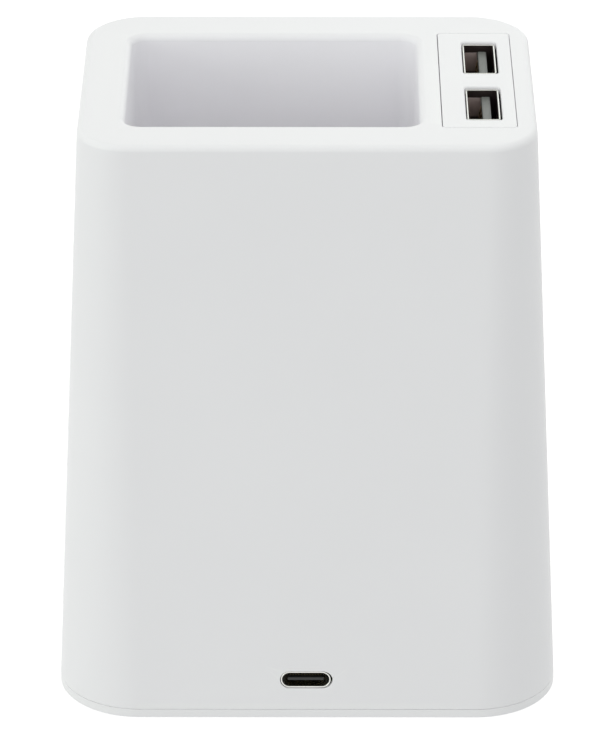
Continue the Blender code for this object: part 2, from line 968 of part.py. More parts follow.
def make_panel(face_frame, white):
    """Phone panel flush with the face, hooked behind its seat, with posts for the coil holder."""
    outline = rounded_rectangle(panel_width, panel_length, panel_corner, steps=corner_steps)
    panel = place("phone_panel", prism(outline, -panel_thickness, 0), face_frame, white)
    hook_depth = wall + panel_floor_gap + seat_gap
    opening_half = panel_width / 2 - panel_seat
    for side in (-1, 1):
        for number, share in enumerate(hook_shares, 1):
            y = panel_length * share
            stem_x = side * (opening_half - panel_floor_gap - seat_gap - hook_thickness / 2)
            stem = block(
                hook_thickness, hook_width, -hook_depth - hook_thickness, -panel_thickness / 2, stem_x, y
            )
            join(panel, f"hook_stem_{number}_{side}", stem)
            barb_width = hook_thickness + seat_gap + hook_barb
            barb_x = stem_x + side * (seat_gap + hook_barb) / 2
            barb = block(barb_width, hook_width, -hook_depth - hook_thickness, -hook_depth, barb_x, y)
            join(panel, f"hook_barb_{number}_{side}", barb)
    for number, (x, y) in enumerate(holder_posts(), 1):
        post = turned(
            [(holder_post_radius, -holder_front_depth()), (holder_post_radius, -panel_thickness / 2)],
            x,
            y,
            screw_sides,
        )
        join(panel, f"holder_post_{number}", post)
        if number in (1, 4):
            bore = holder_screw_shank + thread_gap
            depth = panel_thickness * holder_pilot_share
            pilot = turned([(bore, -holder_front_depth() - overrun), (bore, -depth)], x, y, screw_sides)
            cut(panel, f"holder_pilot_{number}", pilot)
    return panel


def coil_up():
    """The coil's centre, measured up the slope from the panel's centre."""
    return coil_middle - panel_middle


def coil_depth():
    """Depth of the middle of the coil's wire behind the face."""
    return panel_thickness + coil_clearance + coil_wire / 2


def ferrite_front_depth():
    return coil_depth() + coil_wire / 2 + coil_clearance


def holder_front_depth():
    return ferrite_front_depth() + ferrite_thickness + board_gap


def holder_posts():
    reach = holder_width / 2 - holder_post_inset
    return [(x * reach, coil_up() + y * reach) for y in (-1, 1) for x in (-1, 1)]


def coil_points():
    """A flat spiral, from its outer end at the foot of the coil to its inner end."""
    count = coil_turns * loop_points
    points = []
    for i in range(count + 1):
        angle = 2 * math.pi * i / loop_points - math.pi / 2
        radius = coil_inner_radius + coil_pitch * (count - i) / loop_points
        x = radius * math.cos(angle)
        points.append(Vector((x, coil_up() + radius * math.sin(angle), -coil_depth())))
    return points


def make_tube(name, points, diameter, frame, material, resolution):
    """A round wire along its points, closed at both ends."""
    curve = bpy.data.curves.new(name, "CURVE")
    curve.dimensions = "3D"
    curve.bevel_depth = diameter / 2
    curve.bevel_resolution = resolution
    curve.use_fill_caps = True
    spline = curve.splines.new("POLY")
    spline.points.add(len(points) - 1)
    for point, spot in zip(spline.points, points):
        point.co = (*spot, 1)
    spline.use_smooth = True
    made = bpy.data.objects.new(name, curve)
    bpy.context.scene.collection.objects.link(made)
    made.parent = frame
    curve.materials.append(material)
    return made


def least_gap(points, diameter, near):
    """The smallest clear distance between stretches of one wire that are not neighbours along it."""
    return min(
        (a - b).length - diameter
        for i, a in enumerate(points)
        for b in points[i + near :]
    )


def make_coil_stack(face_frame, copper, ferrite, black, steel):
    """Wound coil, its ferrite disc and the holder that presses both to the panel."""
    points = coil_points()
    make_tube("charging_coil", points, coil_wire, face_frame, copper, 1)
    gap = least_gap(points, coil_wire, loop_points // 2)
    print(f"least gap between turns of the coil: {gap * 1000:.2f} mm")

    back = -ferrite_front_depth() - ferrite_thickness
    disc = place(
        "ferrite_disc",
        turned([(ferrite_radius, back), (ferrite_radius, back + ferrite_thickness)], 0, coil_up()),
        face_frame,
        ferrite,
    )
    ends = [(ferrite_hole, back - overrun), (ferrite_hole, back + ferrite_thickness + overrun)]
    cut(disc, "ferrite_hole", turned(ends, 0, coil_up()))

    front = -holder_front_depth() - board_gap
    rear = front - holder_thickness
    outline = rounded_rectangle(holder_width, holder_width, holder_corner, 0, coil_up())
    holder = place("coil_holder", prism(outline, rear, front), face_frame, black)
    passage = turned([(ferrite_hole, rear - overrun), (ferrite_hole, front + overrun)], 0, coil_up())
    cut(holder, "holder_passage", passage)
    sizes = (holder_screw_head_radius, holder_screw_head_height, holder_screw_shank, holder_screw_length)
    posts = holder_posts()
    bore = holder_screw_shank + screw_clearance
    for number, (x, y) in enumerate((posts[0], posts[3]), 1):
        hole = turned([(bore, rear - overrun), (bore, front + overrun)], x, y, screw_sides)
        cut(holder, f"holder_hole_{number}", hole)
        make_screw(f"holder_screw_{number}", sizes, (x, y, rear - board_gap), face_frame, steel)


def make_ledge_pad(frame, rubber):
    bottom = ledge_height - ledge_pad_recess + ledge_pad_gap
    outline = rounded_rectangle(
        ledge_pad_width, ledge_pad_length, ledge_pad_corner, 0, face_foot_y + slot_depth / 2
    )
    return place("ledge_pad", prism(outline, bottom, bottom + ledge_pad_thickness), frame, rubber)


def smooth_route(route):
    """Points a step apart along a smooth curve through the route's own points."""
    ends = [route[0] * 2 - route[1]] + route + [route[-1] * 2 - route[-2]]
    points = []
    for before, start, end, after in zip(ends, ends[1:], ends[2:], ends[3:]):
        count = max(1, round((end - start).length / lead_step))
        for i in range(count):
            t = i / count
            points.append(
                (
                    start * 2
                    + (end - before) * t
                    + (before * 2 - start * 5 + end * 4 - after) * t**2
                    + (start * 3 - before - end * 3 + after) * t**3
                )
                / 2
            )
    return points + [route[-1]]


def make_coil_leads(frame, face_frame, sleeve):
    """Sleeved leads from the coil's two ends, down behind the panel and under the well to the main board."""
    foot = board_top + solder_gap
    outer_radius = coil_inner_radius + coil_pitch * coil_turns
    past_holder = holder_front_depth() + holder_thickness + 2 * coil_lead_wire
    well_foot_y = well_back + well_length + well_wall
    outer_end = coil_up() - outer_radius - (coil_lead_wire + coil_wire) / 2 - solder_gap
    inner_end = coil_up() - coil_inner_radius + (coil_lead_wire + coil_wire) / 2 + solder_gap
    for number, (end, share) in enumerate(zip((outer_end, inner_end), reversed(coil_pad_shares)), 1):
        x, y = board_place(share)
        route = [
            face_point(face_frame, 0, end + up * coil_lead_wire, coil_depth() + back * coil_lead_wire)
            for up, back in coil_lead_starts[number - 1]
        ]
        low = -panel_length * coil_lead_low_share
        route += [
            face_point(face_frame, -x / 2, low, past_holder + 2 * number * coil_lead_wire),
            Vector((x, well_foot_y + 8 * coil_lead_wire, foot + 3 * lead_rise)),
            Vector((x, well_foot_y, foot + 1.4 * lead_rise)),
            Vector((x, y + lead_rise, foot + 1.3 * lead_rise)),
            Vector((x, y, foot + lead_rise / 2)),
            Vector((x, y, foot)),
        ]
        make_tube(f"coil_lead_{number}", smooth_route(route), coil_lead_wire, frame, sleeve, 2)


def make_port_leads(frame, red, black):
    """Supply leads from the main board up beside the well to the port board."""
    foot = board_top + solder_gap
    top = port_board_top - port_board_thickness - solder_gap
    spread = 2 * port_lead_wire
    for number, (material, share) in enumerate(zip((red, black), port_pad_shares), 1):
        side = number - 1.5
        x, y = board_place(share)
        end_y = strip_centre_y - port_pitch / 2 + side * spread
        across = mix(x, strip_centre_x, port_lead_across_share)
        route = [
            Vector((x, y, foot)),
            Vector((x, y, foot + lead_rise)),
            Vector((across, y + side * spread, foot + 4 * lead_rise)),
        ]
        for along, up in port_lead_climb_shares:
            route.append(Vector((strip_centre_x + side * spread, mix(y, end_y, along), mix(foot, top, up))))
        route += [
            Vector((strip_centre_x, end_y, top - lead_rise)),
            Vector((strip_centre_x, end_y, top)),
        ]
        make_tube(f"port_lead_{number}", smooth_route(route), port_lead_wire, frame, material, 1)


def build():
    for old in list(bpy.data.objects):
        bpy.data.objects.remove(old)
    white = make_material("white_abs", (0.84, 0.85, 0.84), 0.42)
    panel_white = make_material("satin_white_abs", (0.83, 0.83, 0.84), 0.55)
    rubber = make_material("grey_silicone", (0.42, 0.43, 0.44), 0.75)
    steel = make_material("zinc_steel", (0.62, 0.62, 0.60), 0.35, 1.0)
    tin = make_material("tinned_shell", (0.78, 0.78, 0.76), 0.25, 1.0)
    grey = make_material("grey_nylon", (0.30, 0.31, 0.31), 0.50)
    black = make_material("black_nylon", (0.02, 0.02, 0.02), 0.45)
    gold = make_material("gold_contact", (0.83, 0.62, 0.28), 0.25, 1.0)
    green = make_material("green_board", (0.05, 0.24, 0.12), 0.40)
    copper = make_material("enamelled_copper", (0.62, 0.28, 0.12), 0.30, 1.0)
    ferrite = make_material("dark_ferrite", (0.09, 0.09, 0.10), 0.65)
    aluminium = make_material("can_aluminium", (0.74, 0.75, 0.76), 0.30, 1.0)
    tan = make_material("tan_ceramic", (0.50, 0.38, 0.26), 0.50)
    sleeve = make_material("clear_sleeve", (0.55, 0.40, 0.26), 0.40)
    red = make_material("red_pvc", (0.55, 0.03, 0.03), 0.45)
    black_pvc = make_material("black_pvc", (0.03, 0.03, 0.03), 0.45)

    frame = make_frame("holder_frame")
    frame.location = (0, -base_depth / 2, foot_proud)
    face_frame = make_frame("face_frame", frame)
    face_frame.location = on_face(panel_middle)
    face_frame.rotation_euler = (math.radians(90) - rest_lean, 0, math.pi)

    make_housing(frame, face_frame, white)
    make_base_plate(frame, white)
    for number, (x, y) in enumerate(foot_places(), 1):
        make_foot(number, x, y, frame, rubber)
    base_screw = (screw_head_radius, screw_head_height, screw_shank_radius, screw_length)
    for number, (x, y) in enumerate(screw_places(), 1):
        make_screw(f"base_screw_{number}", base_screw, (x, y, screw_seat_z() - board_gap), frame, steel)

    make_port_strip(frame, white)
    for number, port_y in enumerate(port_ys, 1):
        make_socket(number, port_y, frame, tin, grey, gold)
    make_port_board(frame, green)
    small_head = (board_screw_head_radius, board_screw_head_height)
    port_screw = (*small_head, strip_post_hole - thread_gap, board_screw_length)
    under = port_board_top - port_board_thickness - board_gap
    for number, x in enumerate(strip_post_xs, 1):
        make_screw(f"port_board_screw_{number}", port_screw, (x, strip_centre_y, under), frame, steel)

    make_inlet(frame, tin, black)
    make_main_board(frame, green)
    holes = board_holes()
    reach = board_top + board_gap - base_thickness - seat_gap
    board_screw = (*small_head, board_screw_shank, reach)
    for number, (x, y) in enumerate((holes[0], holes[3]), 1):
        at = (x, y, board_top + board_gap)
        make_screw(f"board_screw_{number}", board_screw, at, frame, steel, math.pi)
    make_board_parts(frame, black, ferrite, aluminium, tan)

    make_panel(face_frame, panel_white)
    make_coil_stack(face_frame, copper, ferrite, black, steel)
    make_ledge_pad(frame, rubber)
    make_coil_leads(frame, face_frame, sleeve)
    make_port_leads(frame, red, black_pvc)
    settle_cuts()


build()
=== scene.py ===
# A pen holder for the desk with a wireless charger behind its leaning front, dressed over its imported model.
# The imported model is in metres, +Z up. -Y is the back with the power inlet, which the camera looks at.
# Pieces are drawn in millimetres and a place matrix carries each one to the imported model's frame.

import math

import bmesh
import bpy
from mathutils import Matrix, Vector


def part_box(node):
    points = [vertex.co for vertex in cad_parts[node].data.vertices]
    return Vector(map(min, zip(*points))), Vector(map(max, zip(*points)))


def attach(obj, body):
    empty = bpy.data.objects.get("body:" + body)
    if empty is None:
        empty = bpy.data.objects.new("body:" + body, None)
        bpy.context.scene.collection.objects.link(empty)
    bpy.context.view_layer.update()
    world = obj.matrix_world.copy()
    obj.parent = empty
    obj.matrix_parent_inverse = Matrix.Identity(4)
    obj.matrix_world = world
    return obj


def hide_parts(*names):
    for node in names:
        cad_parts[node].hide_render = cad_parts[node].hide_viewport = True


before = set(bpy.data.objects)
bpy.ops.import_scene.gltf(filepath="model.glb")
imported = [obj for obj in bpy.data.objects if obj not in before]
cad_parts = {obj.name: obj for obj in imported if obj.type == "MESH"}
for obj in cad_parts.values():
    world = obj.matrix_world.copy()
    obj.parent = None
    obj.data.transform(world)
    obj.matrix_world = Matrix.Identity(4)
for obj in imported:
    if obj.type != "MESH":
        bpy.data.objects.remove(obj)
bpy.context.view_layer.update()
print("frame loaded,", len(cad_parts), "nodes")

mm = 0.001
overrun = 1.0       # how far a cutter runs past the face that it cuts
flareTurn = 82      # degrees that a rounded cut edge turns before it meets the face
arcShare = 0.3      # how far in and down the middle of a small round lies, as a share of its radius
worldPlace = Matrix.Scale(mm, 4)


# Drawing helpers

def quarterArc(x, y, radius, startDegrees, steps, pull=0):
    # a pull draws the foremost point in, and fades towards the side
    turns = [math.radians(startDegrees + 90 * i / steps) for i in range(steps + 1)]
    return [(x + radius * math.cos(turn), y + (radius - pull) * math.sin(turn)) for turn in turns]


def roundedOutline(width, length, corner, x=0, y=0, steps=8):
    corner = max(corner, 0.01)
    halfX, halfY = width / 2 - corner, length / 2 - corner
    corners = [(halfX, -halfY, -90), (halfX, halfY, 0), (-halfX, halfY, 90), (-halfX, -halfY, 180)]
    return sum((quarterArc(x + dx, y + dy, corner, start, steps) for dx, dy, start in corners), [])


def insetOutline(width, length, corner, x=0, y=0, steps=8):
    # the same outline as a function of how far it is drawn in
    return lambda draw: roundedOutline(width - 2 * draw, length - 2 * draw, corner - draw, x, y, steps)


def circle(radius, x=0, y=0, sides=48):
    turns = [2 * math.pi * i / sides for i in range(sides)]
    return [(x + radius * math.cos(turn), y + radius * math.sin(turn)) for turn in turns]


def roundOver(radius, steps=6, degrees=90):
    # (inward, down) pairs of a rounded edge, from its side up towards its top
    turns = [math.radians(degrees * i / steps) for i in range(1, steps + 1)]
    return [(radius * (1 - math.cos(turn)), radius * (1 - math.sin(turn))) for turn in turns]


def addRing(shape, points, z):
    return [shape.verts.new((x, y, z)) for x, y in points]


def joinRings(shape, lower, upper):
    for i in range(len(lower)):
        after = (i + 1) % len(lower)
        shape.faces.new((lower[i], lower[after], upper[after], upper[i]))


def loft(rings):
    shape = bmesh.new()
    made = [addRing(shape, points, z) for points, z in rings]
    shape.faces.new(made[0][::-1])
    for lower, upper in zip(made, made[1:]):
        joinRings(shape, lower, upper)
    shape.faces.new(made[-1])
    return shape


def prism(outline, low, high):
    return loft([(outline, low), (outline, high)])


def softPrism(outlineAt, low, high, lowRound=0, highRound=0, steps=4):
    rings = []
    if lowRound:
        rings += [(outlineAt(draw), low + rise) for draw, rise in reversed(roundOver(lowRound, steps))]
    rings += [(outlineAt(0), low + lowRound), (outlineAt(0), high - highRound)]
    if highRound:
        rings += [(outlineAt(draw), high - drop) for draw, drop in roundOver(highRound, steps)]
    return loft(rings)


def flaredCut(outlineAt, low, high, flare):
    # a cutter that leaves a rounded edge where it comes out at the height high
    rings = [(outlineAt(0), low), (outlineAt(0), high - flare)]
    rings += [(outlineAt(-draw), high - drop) for draw, drop in roundOver(flare, 4, flareTurn)]
    return loft(rings + [(outlineAt(-flare), high + overrun)])


def turned(profile, x=0, y=0, sides=48):
    return loft([(circle(radius, x, y, sides), z) for radius, z in profile])


def rod(radius, low, high, x=0, y=0, sides=48):
    return prism(circle(radius, x, y, sides), low, high)


def block(low, high):
    corners = [(high[0], low[1]), (high[0], high[1]), (low[0], high[1]), (low[0], low[1])]
    return prism(corners, low[2], high[2])


def softBlock(low, high, corner=0.1, topRound=0.1, lowRound=0):
    middle = [(a + b) / 2 for a, b in zip(low, high)]
    outline = insetOutline(high[0] - low[0], high[1] - low[1], corner, middle[0], middle[1], 4)
    return softPrism(outline, low[2], high[2], lowRound, topRound, 3)


def bentStrip(points, thickness, low, high):
    # a strip bent along its middle line, drawn out from low to high
    right, left = [], []
    for i, point in enumerate(points):
        along = (Vector(points[min(i + 1, len(points) - 1)]) - Vector(points[max(i - 1, 0)])).normalized()
        across = Vector((along.y, -along.x)) * thickness / 2
        right.append(tuple(Vector(point) + across))
        left.append(tuple(Vector(point) - across))
    return prism(right + left[::-1], low, high)


def smoothRoute(route, step):
    # points about a step apart on a smooth curve through the route's own points
    route = [Vector(point) for point in route]
    ends = [route[0] * 2 - route[1]] + route + [route[-1] * 2 - route[-2]]
    points = []
    for before, start, end, after in zip(ends, ends[1:], ends[2:], ends[3:]):
        count = max(1, round((end - start).length / step))
        for i in range(count):
            t = i / count
            square = (before * 2 - start * 5 + end * 4 - after) * t * t
            cube = (start * 3 - before - end * 3 + after) * t**3
            points.append((start * 2 + (end - before) * t + square + cube) / 2)
    return points + [route[-1]]


def tubeShape(points, radius, sides=12):
    # a round wire along its points, a little thinner at its ends
    shape = bmesh.new()
    normal = lower = None
    last = len(points) - 1
    turns = [2 * math.pi * k / sides for k in range(sides)]
    for i, point in enumerate(points):
        along = (points[min(i + 1, last)] - points[max(i - 1, 0)]).normalized()
        if normal is None:
            normal = along.orthogonal().normalized()
        normal = (normal - along * normal.dot(along)).normalized()
        across = along.cross(normal)
        reach = radius * (0.85 if i in (0, last) else 1.0)
        ring = [
            shape.verts.new(point + (normal * math.cos(turn) + across * math.sin(turn)) * reach)
            for turn in turns
        ]
        if lower:
            joinRings(shape, lower, ring)
        else:
            shape.faces.new(ring[::-1])
        lower = ring
    shape.faces.new(lower)
    return shape


def addToScene(name, data):
    made = bpy.data.objects.new(name, data)
    bpy.context.scene.collection.objects.link(made)
    return made


def plainObject(name, shape, place):
    mesh = bpy.data.meshes.new(name)
    shape.to_mesh(mesh)
    shape.free()
    mesh.transform(place)
    return addToScene(name, mesh)


def asObject(name, item, place):
    return item if isinstance(item, bpy.types.Object) else plainObject(name, item, place)


def solidObject(name, shape, place, joins=(), cuts=()):
    # a shape with others joined on and cut out, as one mesh
    made = plainObject(name, shape, place)
    tools = []
    for operation, group in (("UNION", joins), ("DIFFERENCE", cuts)):
        for item in group:
            change = made.modifiers.new(operation.lower(), "BOOLEAN")
            change.operation = operation
            change.object = asObject(name + "_tool", item, place)
            tools.append(change.object)
    if tools:
        graph = bpy.context.evaluated_depsgraph_get()
        mesh = bpy.data.meshes.new_from_object(made.evaluated_get(graph), depsgraph=graph)
        made.modifiers.clear()
        made.data = mesh
    for tool in tools:
        bpy.data.objects.remove(tool)
    return made


def layeredObject(name, layers, place):
    # several closed shapes in one piece, each with its own finish
    whole = bmesh.new()
    finishes = []
    for item, finish in layers:
        layer = asObject(name + "_layer", item, place)
        if finish not in finishes:
            finishes.append(finish)
        for face in layer.data.polygons:
            face.material_index = finishes.index(finish)
        whole.from_mesh(layer.data)
        bpy.data.objects.remove(layer)
    made = plainObject(name, whole, Matrix.Identity(4))
    for finish in finishes:
        made.data.materials.append(finish)
    return made


def dress(made, nodes, smoothDegrees=35):
    # shading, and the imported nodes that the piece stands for
    made.data.shade_smooth()
    made.data.set_sharp_from_angle(angle=math.radians(smoothDegrees))
    flats = made.modifiers.new("flats", "WEIGHTED_NORMAL")
    flats.keep_sharp = True
    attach(made, "root")
    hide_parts(*nodes)
    return made


def makePiece(node, form, finish, place, shape, joins=(), cuts=(), smoothDegrees=35):
    made = solidObject(f"{node}_{form}", shape, place, joins, cuts)
    made.data.materials.clear()
    made.data.materials.append(finish)
    return dress(made, [node], smoothDegrees)


def makeLayered(node, form, place, layers, smoothDegrees=35):
    return dress(layeredObject(f"{node}_{form}", layers, place), [node], smoothDegrees)


def boxMm(node):
    low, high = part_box(node)
    return low / mm, high / mm


def middleXY(low, high):
    return (low.x + high.x) / 2, (low.y + high.y) / 2


# Finishes

def toLinear(hexColour):
    channels = [int(hexColour[i : i + 2], 16) / 255 for i in (1, 3, 5)]
    linear = [c / 12.92 if c <= 0.04045 else ((c + 0.055) / 1.055) ** 2.4 for c in channels]
    return (*linear, 1.0)


def addNode(tree, kind, settings=None, links=None):
    node = tree.nodes.new("ShaderNode" + kind)
    for name, value in (settings or {}).items():
        if isinstance(name, int) or name in node.inputs:
            node.inputs[name].default_value = value
        else:
            setattr(node, name, value)
    for name, source in (links or {}).items():
        tree.links.new(source, node.inputs[name])
    return node


usual = {
    "metallic": 0, "ior": 1.53, "roughnessSpread": 0.08, "polish": 0.1, "wear": 0.5,
    "edgeColourFrom": 0.505, "edgeColourTo": 0.56,   # how sharp an edge is where its edge colour starts and where it is full
    "grainStretch": (1, 1, 1),
}


def newMaterial(name, even):
    # a material whose surface has these even values
    made = bpy.data.materials.new(name)
    made.use_nodes = True
    surface = made.node_tree.nodes["Principled BSDF"]
    for entry, value in even.items():
        surface.inputs[entry].default_value = value
    return made, surface


def makeFinish(name, colours, **own):
    # colours are the ground, its clouds and the edges: worn, and on the grey nylon a painted highlight;
    # sizes are in millimetres, and a grain that is really finer than 0.1 mm is drawn at 0.1 to 0.5 mm
    # so that it shows
    finish = {**usual, **own}
    even = {"Metallic": finish["metallic"]}
    if not finish["metallic"]:
        even["IOR"] = finish["ior"]
    if "throughLight" in finish:
        even["Subsurface Weight"] = finish["throughLight"]
        even["Subsurface Radius"] = (1, 1, 1)
        even["Subsurface Scale"] = finish["throughLightMm"] * mm
    if "clearCoat" in finish:
        even["Coat Weight"], even["Coat Roughness"] = finish["clearCoat"]
    made, surface = newMaterial(name, even)
    tree = made.node_tree
    ground, clouds, wornAndHighlitEdge = (toLinear(colour) for colour in colours)
    where = addNode(tree, "TexCoord").outputs["Object"]
    stretch = addNode(tree, "Mapping", {"Scale": finish["grainStretch"]}, {"Vector": where})
    cloud = addNode(
        tree, "TexNoise", {"Scale": 1 / (finish["cloudMm"] * mm), "Detail": 3.0}, {"Vector": where}
    )
    grain = addNode(
        tree, "TexNoise", {"Scale": 1 / (finish["grainMm"] * mm), "Detail": 2.0},
        {"Vector": stretch.outputs["Vector"]},
    )
    wornAndHighlitMask = addNode(
        tree, "MapRange",
        {"From Min": finish["edgeColourFrom"], "From Max": finish["edgeColourTo"], "To Max": finish["wear"]},
        {"Value": addNode(tree, "NewGeometry").outputs["Pointiness"]},
    )
    tint = addNode(tree, "Mix", {"data_type": "RGBA", 6: ground, 7: clouds}, {"Factor": cloud.outputs["Fac"]})
    colour = addNode(
        tree, "Mix", {"data_type": "RGBA", 7: wornAndHighlitEdge},
        {"Factor": wornAndHighlitMask.outputs["Result"], 6: tint.outputs[2]},
    )
    middle, spread = finish["roughness"], finish["roughnessSpread"]   # over the noise's usual 0.3 to 0.7
    gloss = addNode(
        tree, "MapRange",
        {"From Min": 0.3, "From Max": 0.7, "To Min": middle - spread, "To Max": middle + spread},
        {"Value": grain.outputs["Fac"]},
    )
    polish = addNode(
        tree, "Math", {"operation": "MULTIPLY_ADD", 1: -finish["polish"]},
        {0: wornAndHighlitMask.outputs["Result"], 2: gloss.outputs["Result"]},
    )
    bump = addNode(tree, "Bump", {"Distance": finish["grainDepthMm"] * mm}, {"Height": grain.outputs["Fac"]})
    tree.links.new(colour.outputs[2], surface.inputs["Base Color"])
    tree.links.new(polish.outputs["Value"], surface.inputs["Roughness"])
    tree.links.new(bump.outputs["Normal"], surface.inputs["Normal"])
    return made


# Spark-eroded moulded ABS: an even satin white whose fine pits keep highlights wide. The pits are 0.1 mm
# across, drawn at 0.4 mm so that they show.
sparkMouldedAbs = makeFinish(
    "sparkMouldedAbs", ("#f4f2f7", "#f1eff4", "#f7f6f9"), cloudMm=24, roughness=0.42, roughnessSpread=0.05,
    polish=0.12, grainMm=0.4, grainDepthMm=0.003, throughLight=0.06, throughLightMm=0.9,
)

# The same plastic against a polished core on the well's own wall, smoother than outside. Its paler,
# cooler colour is painted light and painted lavender shade for the deep well.
paintedWellLightAbs = makeFinish(
    "paintedWellLightAbs", ("#fbf9fe", "#f9f7fc", "#fbfafd"), cloudMm=24, roughness=0.36, roughnessSpread=0.05,
    polish=0.08, grainMm=0.4, grainDepthMm=0.002,
)

# The same plastic from a chemically etched tool: a flatter, drier white on the face that a phone leans on.
etchedAbs = makeFinish(
    "etchedAbs", ("#edebf0", "#eae8ed", "#f3f1f5"), cloudMm=30, roughness=0.58, roughnessSpread=0.05,
    polish=0.15, grainMm=0.3, grainDepthMm=0.004, throughLight=0.06, throughLightMm=0.9,
)

# Compression-moulded silicone: dull grey that picks up pale dust in its fine skin.
mouldedSilicone = makeFinish(
    "mouldedSilicone", ("#a9abad", "#b4b5b6", "#c3c4c5"), cloudMm=5, roughness=0.74, wear=0.6, ior=1.41,
    grainMm=0.35, grainDepthMm=0.012,
)

# Zinc-plated steel, cold-headed: grey-blue metal, brighter where the edges are rubbed.
zincPlatedSteel = makeFinish(
    "zincPlatedSteel", ("#c3c4c1", "#b3b5b8", "#e2e2df"), cloudMm=1.5, roughness=0.34, roughnessSpread=0.1,
    polish=0.12, wear=0.8, metallic=1.0, grainMm=0.2, grainDepthMm=0.004,
)

# Tin-plated steel sheet, rolled and folded: bright metal with lines along the rolling, and pale cut edges.
rolled = {"metallic": 1.0, "grainMm": 0.12, "grainStretch": (1, 1, 0.08), "grainDepthMm": 0.002}
tinPlatedSheet = makeFinish(
    "tinPlatedSheet", ("#d9d8d4", "#cfcecb", "#f3f2ee"), cloudMm=3, roughness=0.28, wear=0.9, **rolled
)

# The same sheet on the springs and latches in the sockets: its grey-brown tint is a painted reflection, and
# it is dark in a deep room.
reflectionTintedSheet = makeFinish(
    "reflectionTintedSheet", ("#c0a5a4", "#b3a09e", "#cbbfbc"), cloudMm=2, roughness=0.45, wear=0.6, **rolled
)

# Painted shade on the same sheet: nearly black on a socket's inner walls between bright rims, for the dark of
# the deep room.
paintedShadeSheet = makeFinish(
    "paintedShadeSheet", ("#554a49", "#4b4241", "#6a5f5d"), cloudMm=2, roughness=0.5, wear=0.4, **rolled
)

# Glass-filled nylon, moulded: mid grey or black, a little uneven where the fibres lie near the skin.
nylon = {"cloudMm": 2, "roughness": 0.44, "grainMm": 0.25, "grainDepthMm": 0.006}
# the grey nylon's paler edge colour is a painted highlight along its sharp edges, such as the tongue's
# chamfers
greyNylon = makeFinish("greyNylon", ("#585a5a", "#505252", "#70726f"), wear=0.7, **nylon)
blackNylon = makeFinish("blackNylon", ("#171717", "#131313", "#212121"), **nylon)

# Phosphor bronze flashed with gold: warm bright metal, rubbed paler where plugs wipe it.
goldFlashedBronze = makeFinish(
    "goldFlashedBronze", ("#e6c57a", "#d8b264", "#f2dfae"), cloudMm=1, roughness=0.26, polish=0.08, wear=0.7,
    metallic=1.0, grainMm=0.1, grainStretch=(1, 1, 0.1), grainDepthMm=0.001,
)

# Solder mask over glass-fibre board: glossy green with clouds, and a lighter green over copper tracks.
mask = {"roughnessSpread": 0.06, "polish": 0.0, "ior": 1.5, "grainMm": 0.5, "grainDepthMm": 0.006}
solderMaskBoard = makeFinish(
    "solderMaskBoard", ("#1d6b3e", "#2b8450", "#c9c08a"), cloudMm=3, roughness=0.36, **mask
)
maskedCopper = makeFinish(
    "maskedCopper", ("#328a52", "#3b945b", "#c9c08a"), cloudMm=2, roughness=0.34, wear=0.4, **mask
)

# Enamelled copper wire, wound: orange-brown metal under a clear coat of enamel.
enamelledCopper = makeFinish(
    "enamelledCopper", ("#c4713f", "#b0602f", "#dc9563"), cloudMm=2, roughness=0.32, roughnessSpread=0.06,
    polish=0.05, wear=0.4, metallic=1.0, grainMm=0.2, grainDepthMm=0.01, clearCoat=(0.6, 0.2),
)

# Sintered ferrite: near-black and stony, with a fine sparkle and chipped pale edges.
sinteredFerrite = makeFinish(
    "sinteredFerrite", ("#35353a", "#2c2c30", "#6b6b70"), cloudMm=1.5, roughness=0.6, roughnessSpread=0.14,
    wear=0.7, ior=2.2, grainMm=0.2, grainDepthMm=0.015,
)

# Drawn aluminium: pale metal with fine lines round the can.
drawnAluminium = makeFinish(
    "drawnAluminium", ("#dfe0e2", "#d3d5d7", "#f0f0f1"), cloudMm=3, roughness=0.3, polish=0.05, metallic=1.0,
    grainMm=0.5, grainStretch=(0.1, 0.1, 1), grainDepthMm=0.003,
)

# Fired ceramic: tan, dense and a little glossy, with speckles.
firedCeramic = makeFinish(
    "firedCeramic", ("#b99c79", "#ab8d6b", "#d2bb9b"), cloudMm=0.6, roughness=0.46, polish=0.08, ior=1.7,
    grainMm=0.15, grainDepthMm=0.006,
)

# Extruded sleeves, silicone over the coil's wire and PVC over the supply's: satin, drawn along the wire.
sleeve = {"cloudMm": 3, "roughnessSpread": 0.06, "polish": 0.05, "wear": 0.3, "grainMm": 0.4}
clearSleeve = makeFinish(
    "clearSleeve", ("#bf9c72", "#b38f66", "#d6bd9c"), roughness=0.36, ior=1.46, grainDepthMm=0.01,
    clearCoat=(0.5, 0.25), **sleeve,
)
redPvc = makeFinish("redPvc", ("#b3231f", "#a31d1a", "#cf5a54"), roughness=0.42, grainDepthMm=0.008, **sleeve)
blackPvc = makeFinish(
    "blackPvc", ("#2a2a2b", "#232324", "#4b4b4c"), roughness=0.42, grainDepthMm=0.008, **sleeve
)
print("finishes made")


# Housing: one moulding with the tapering skin, the pen well, the toe with its lip, bosses and ribs

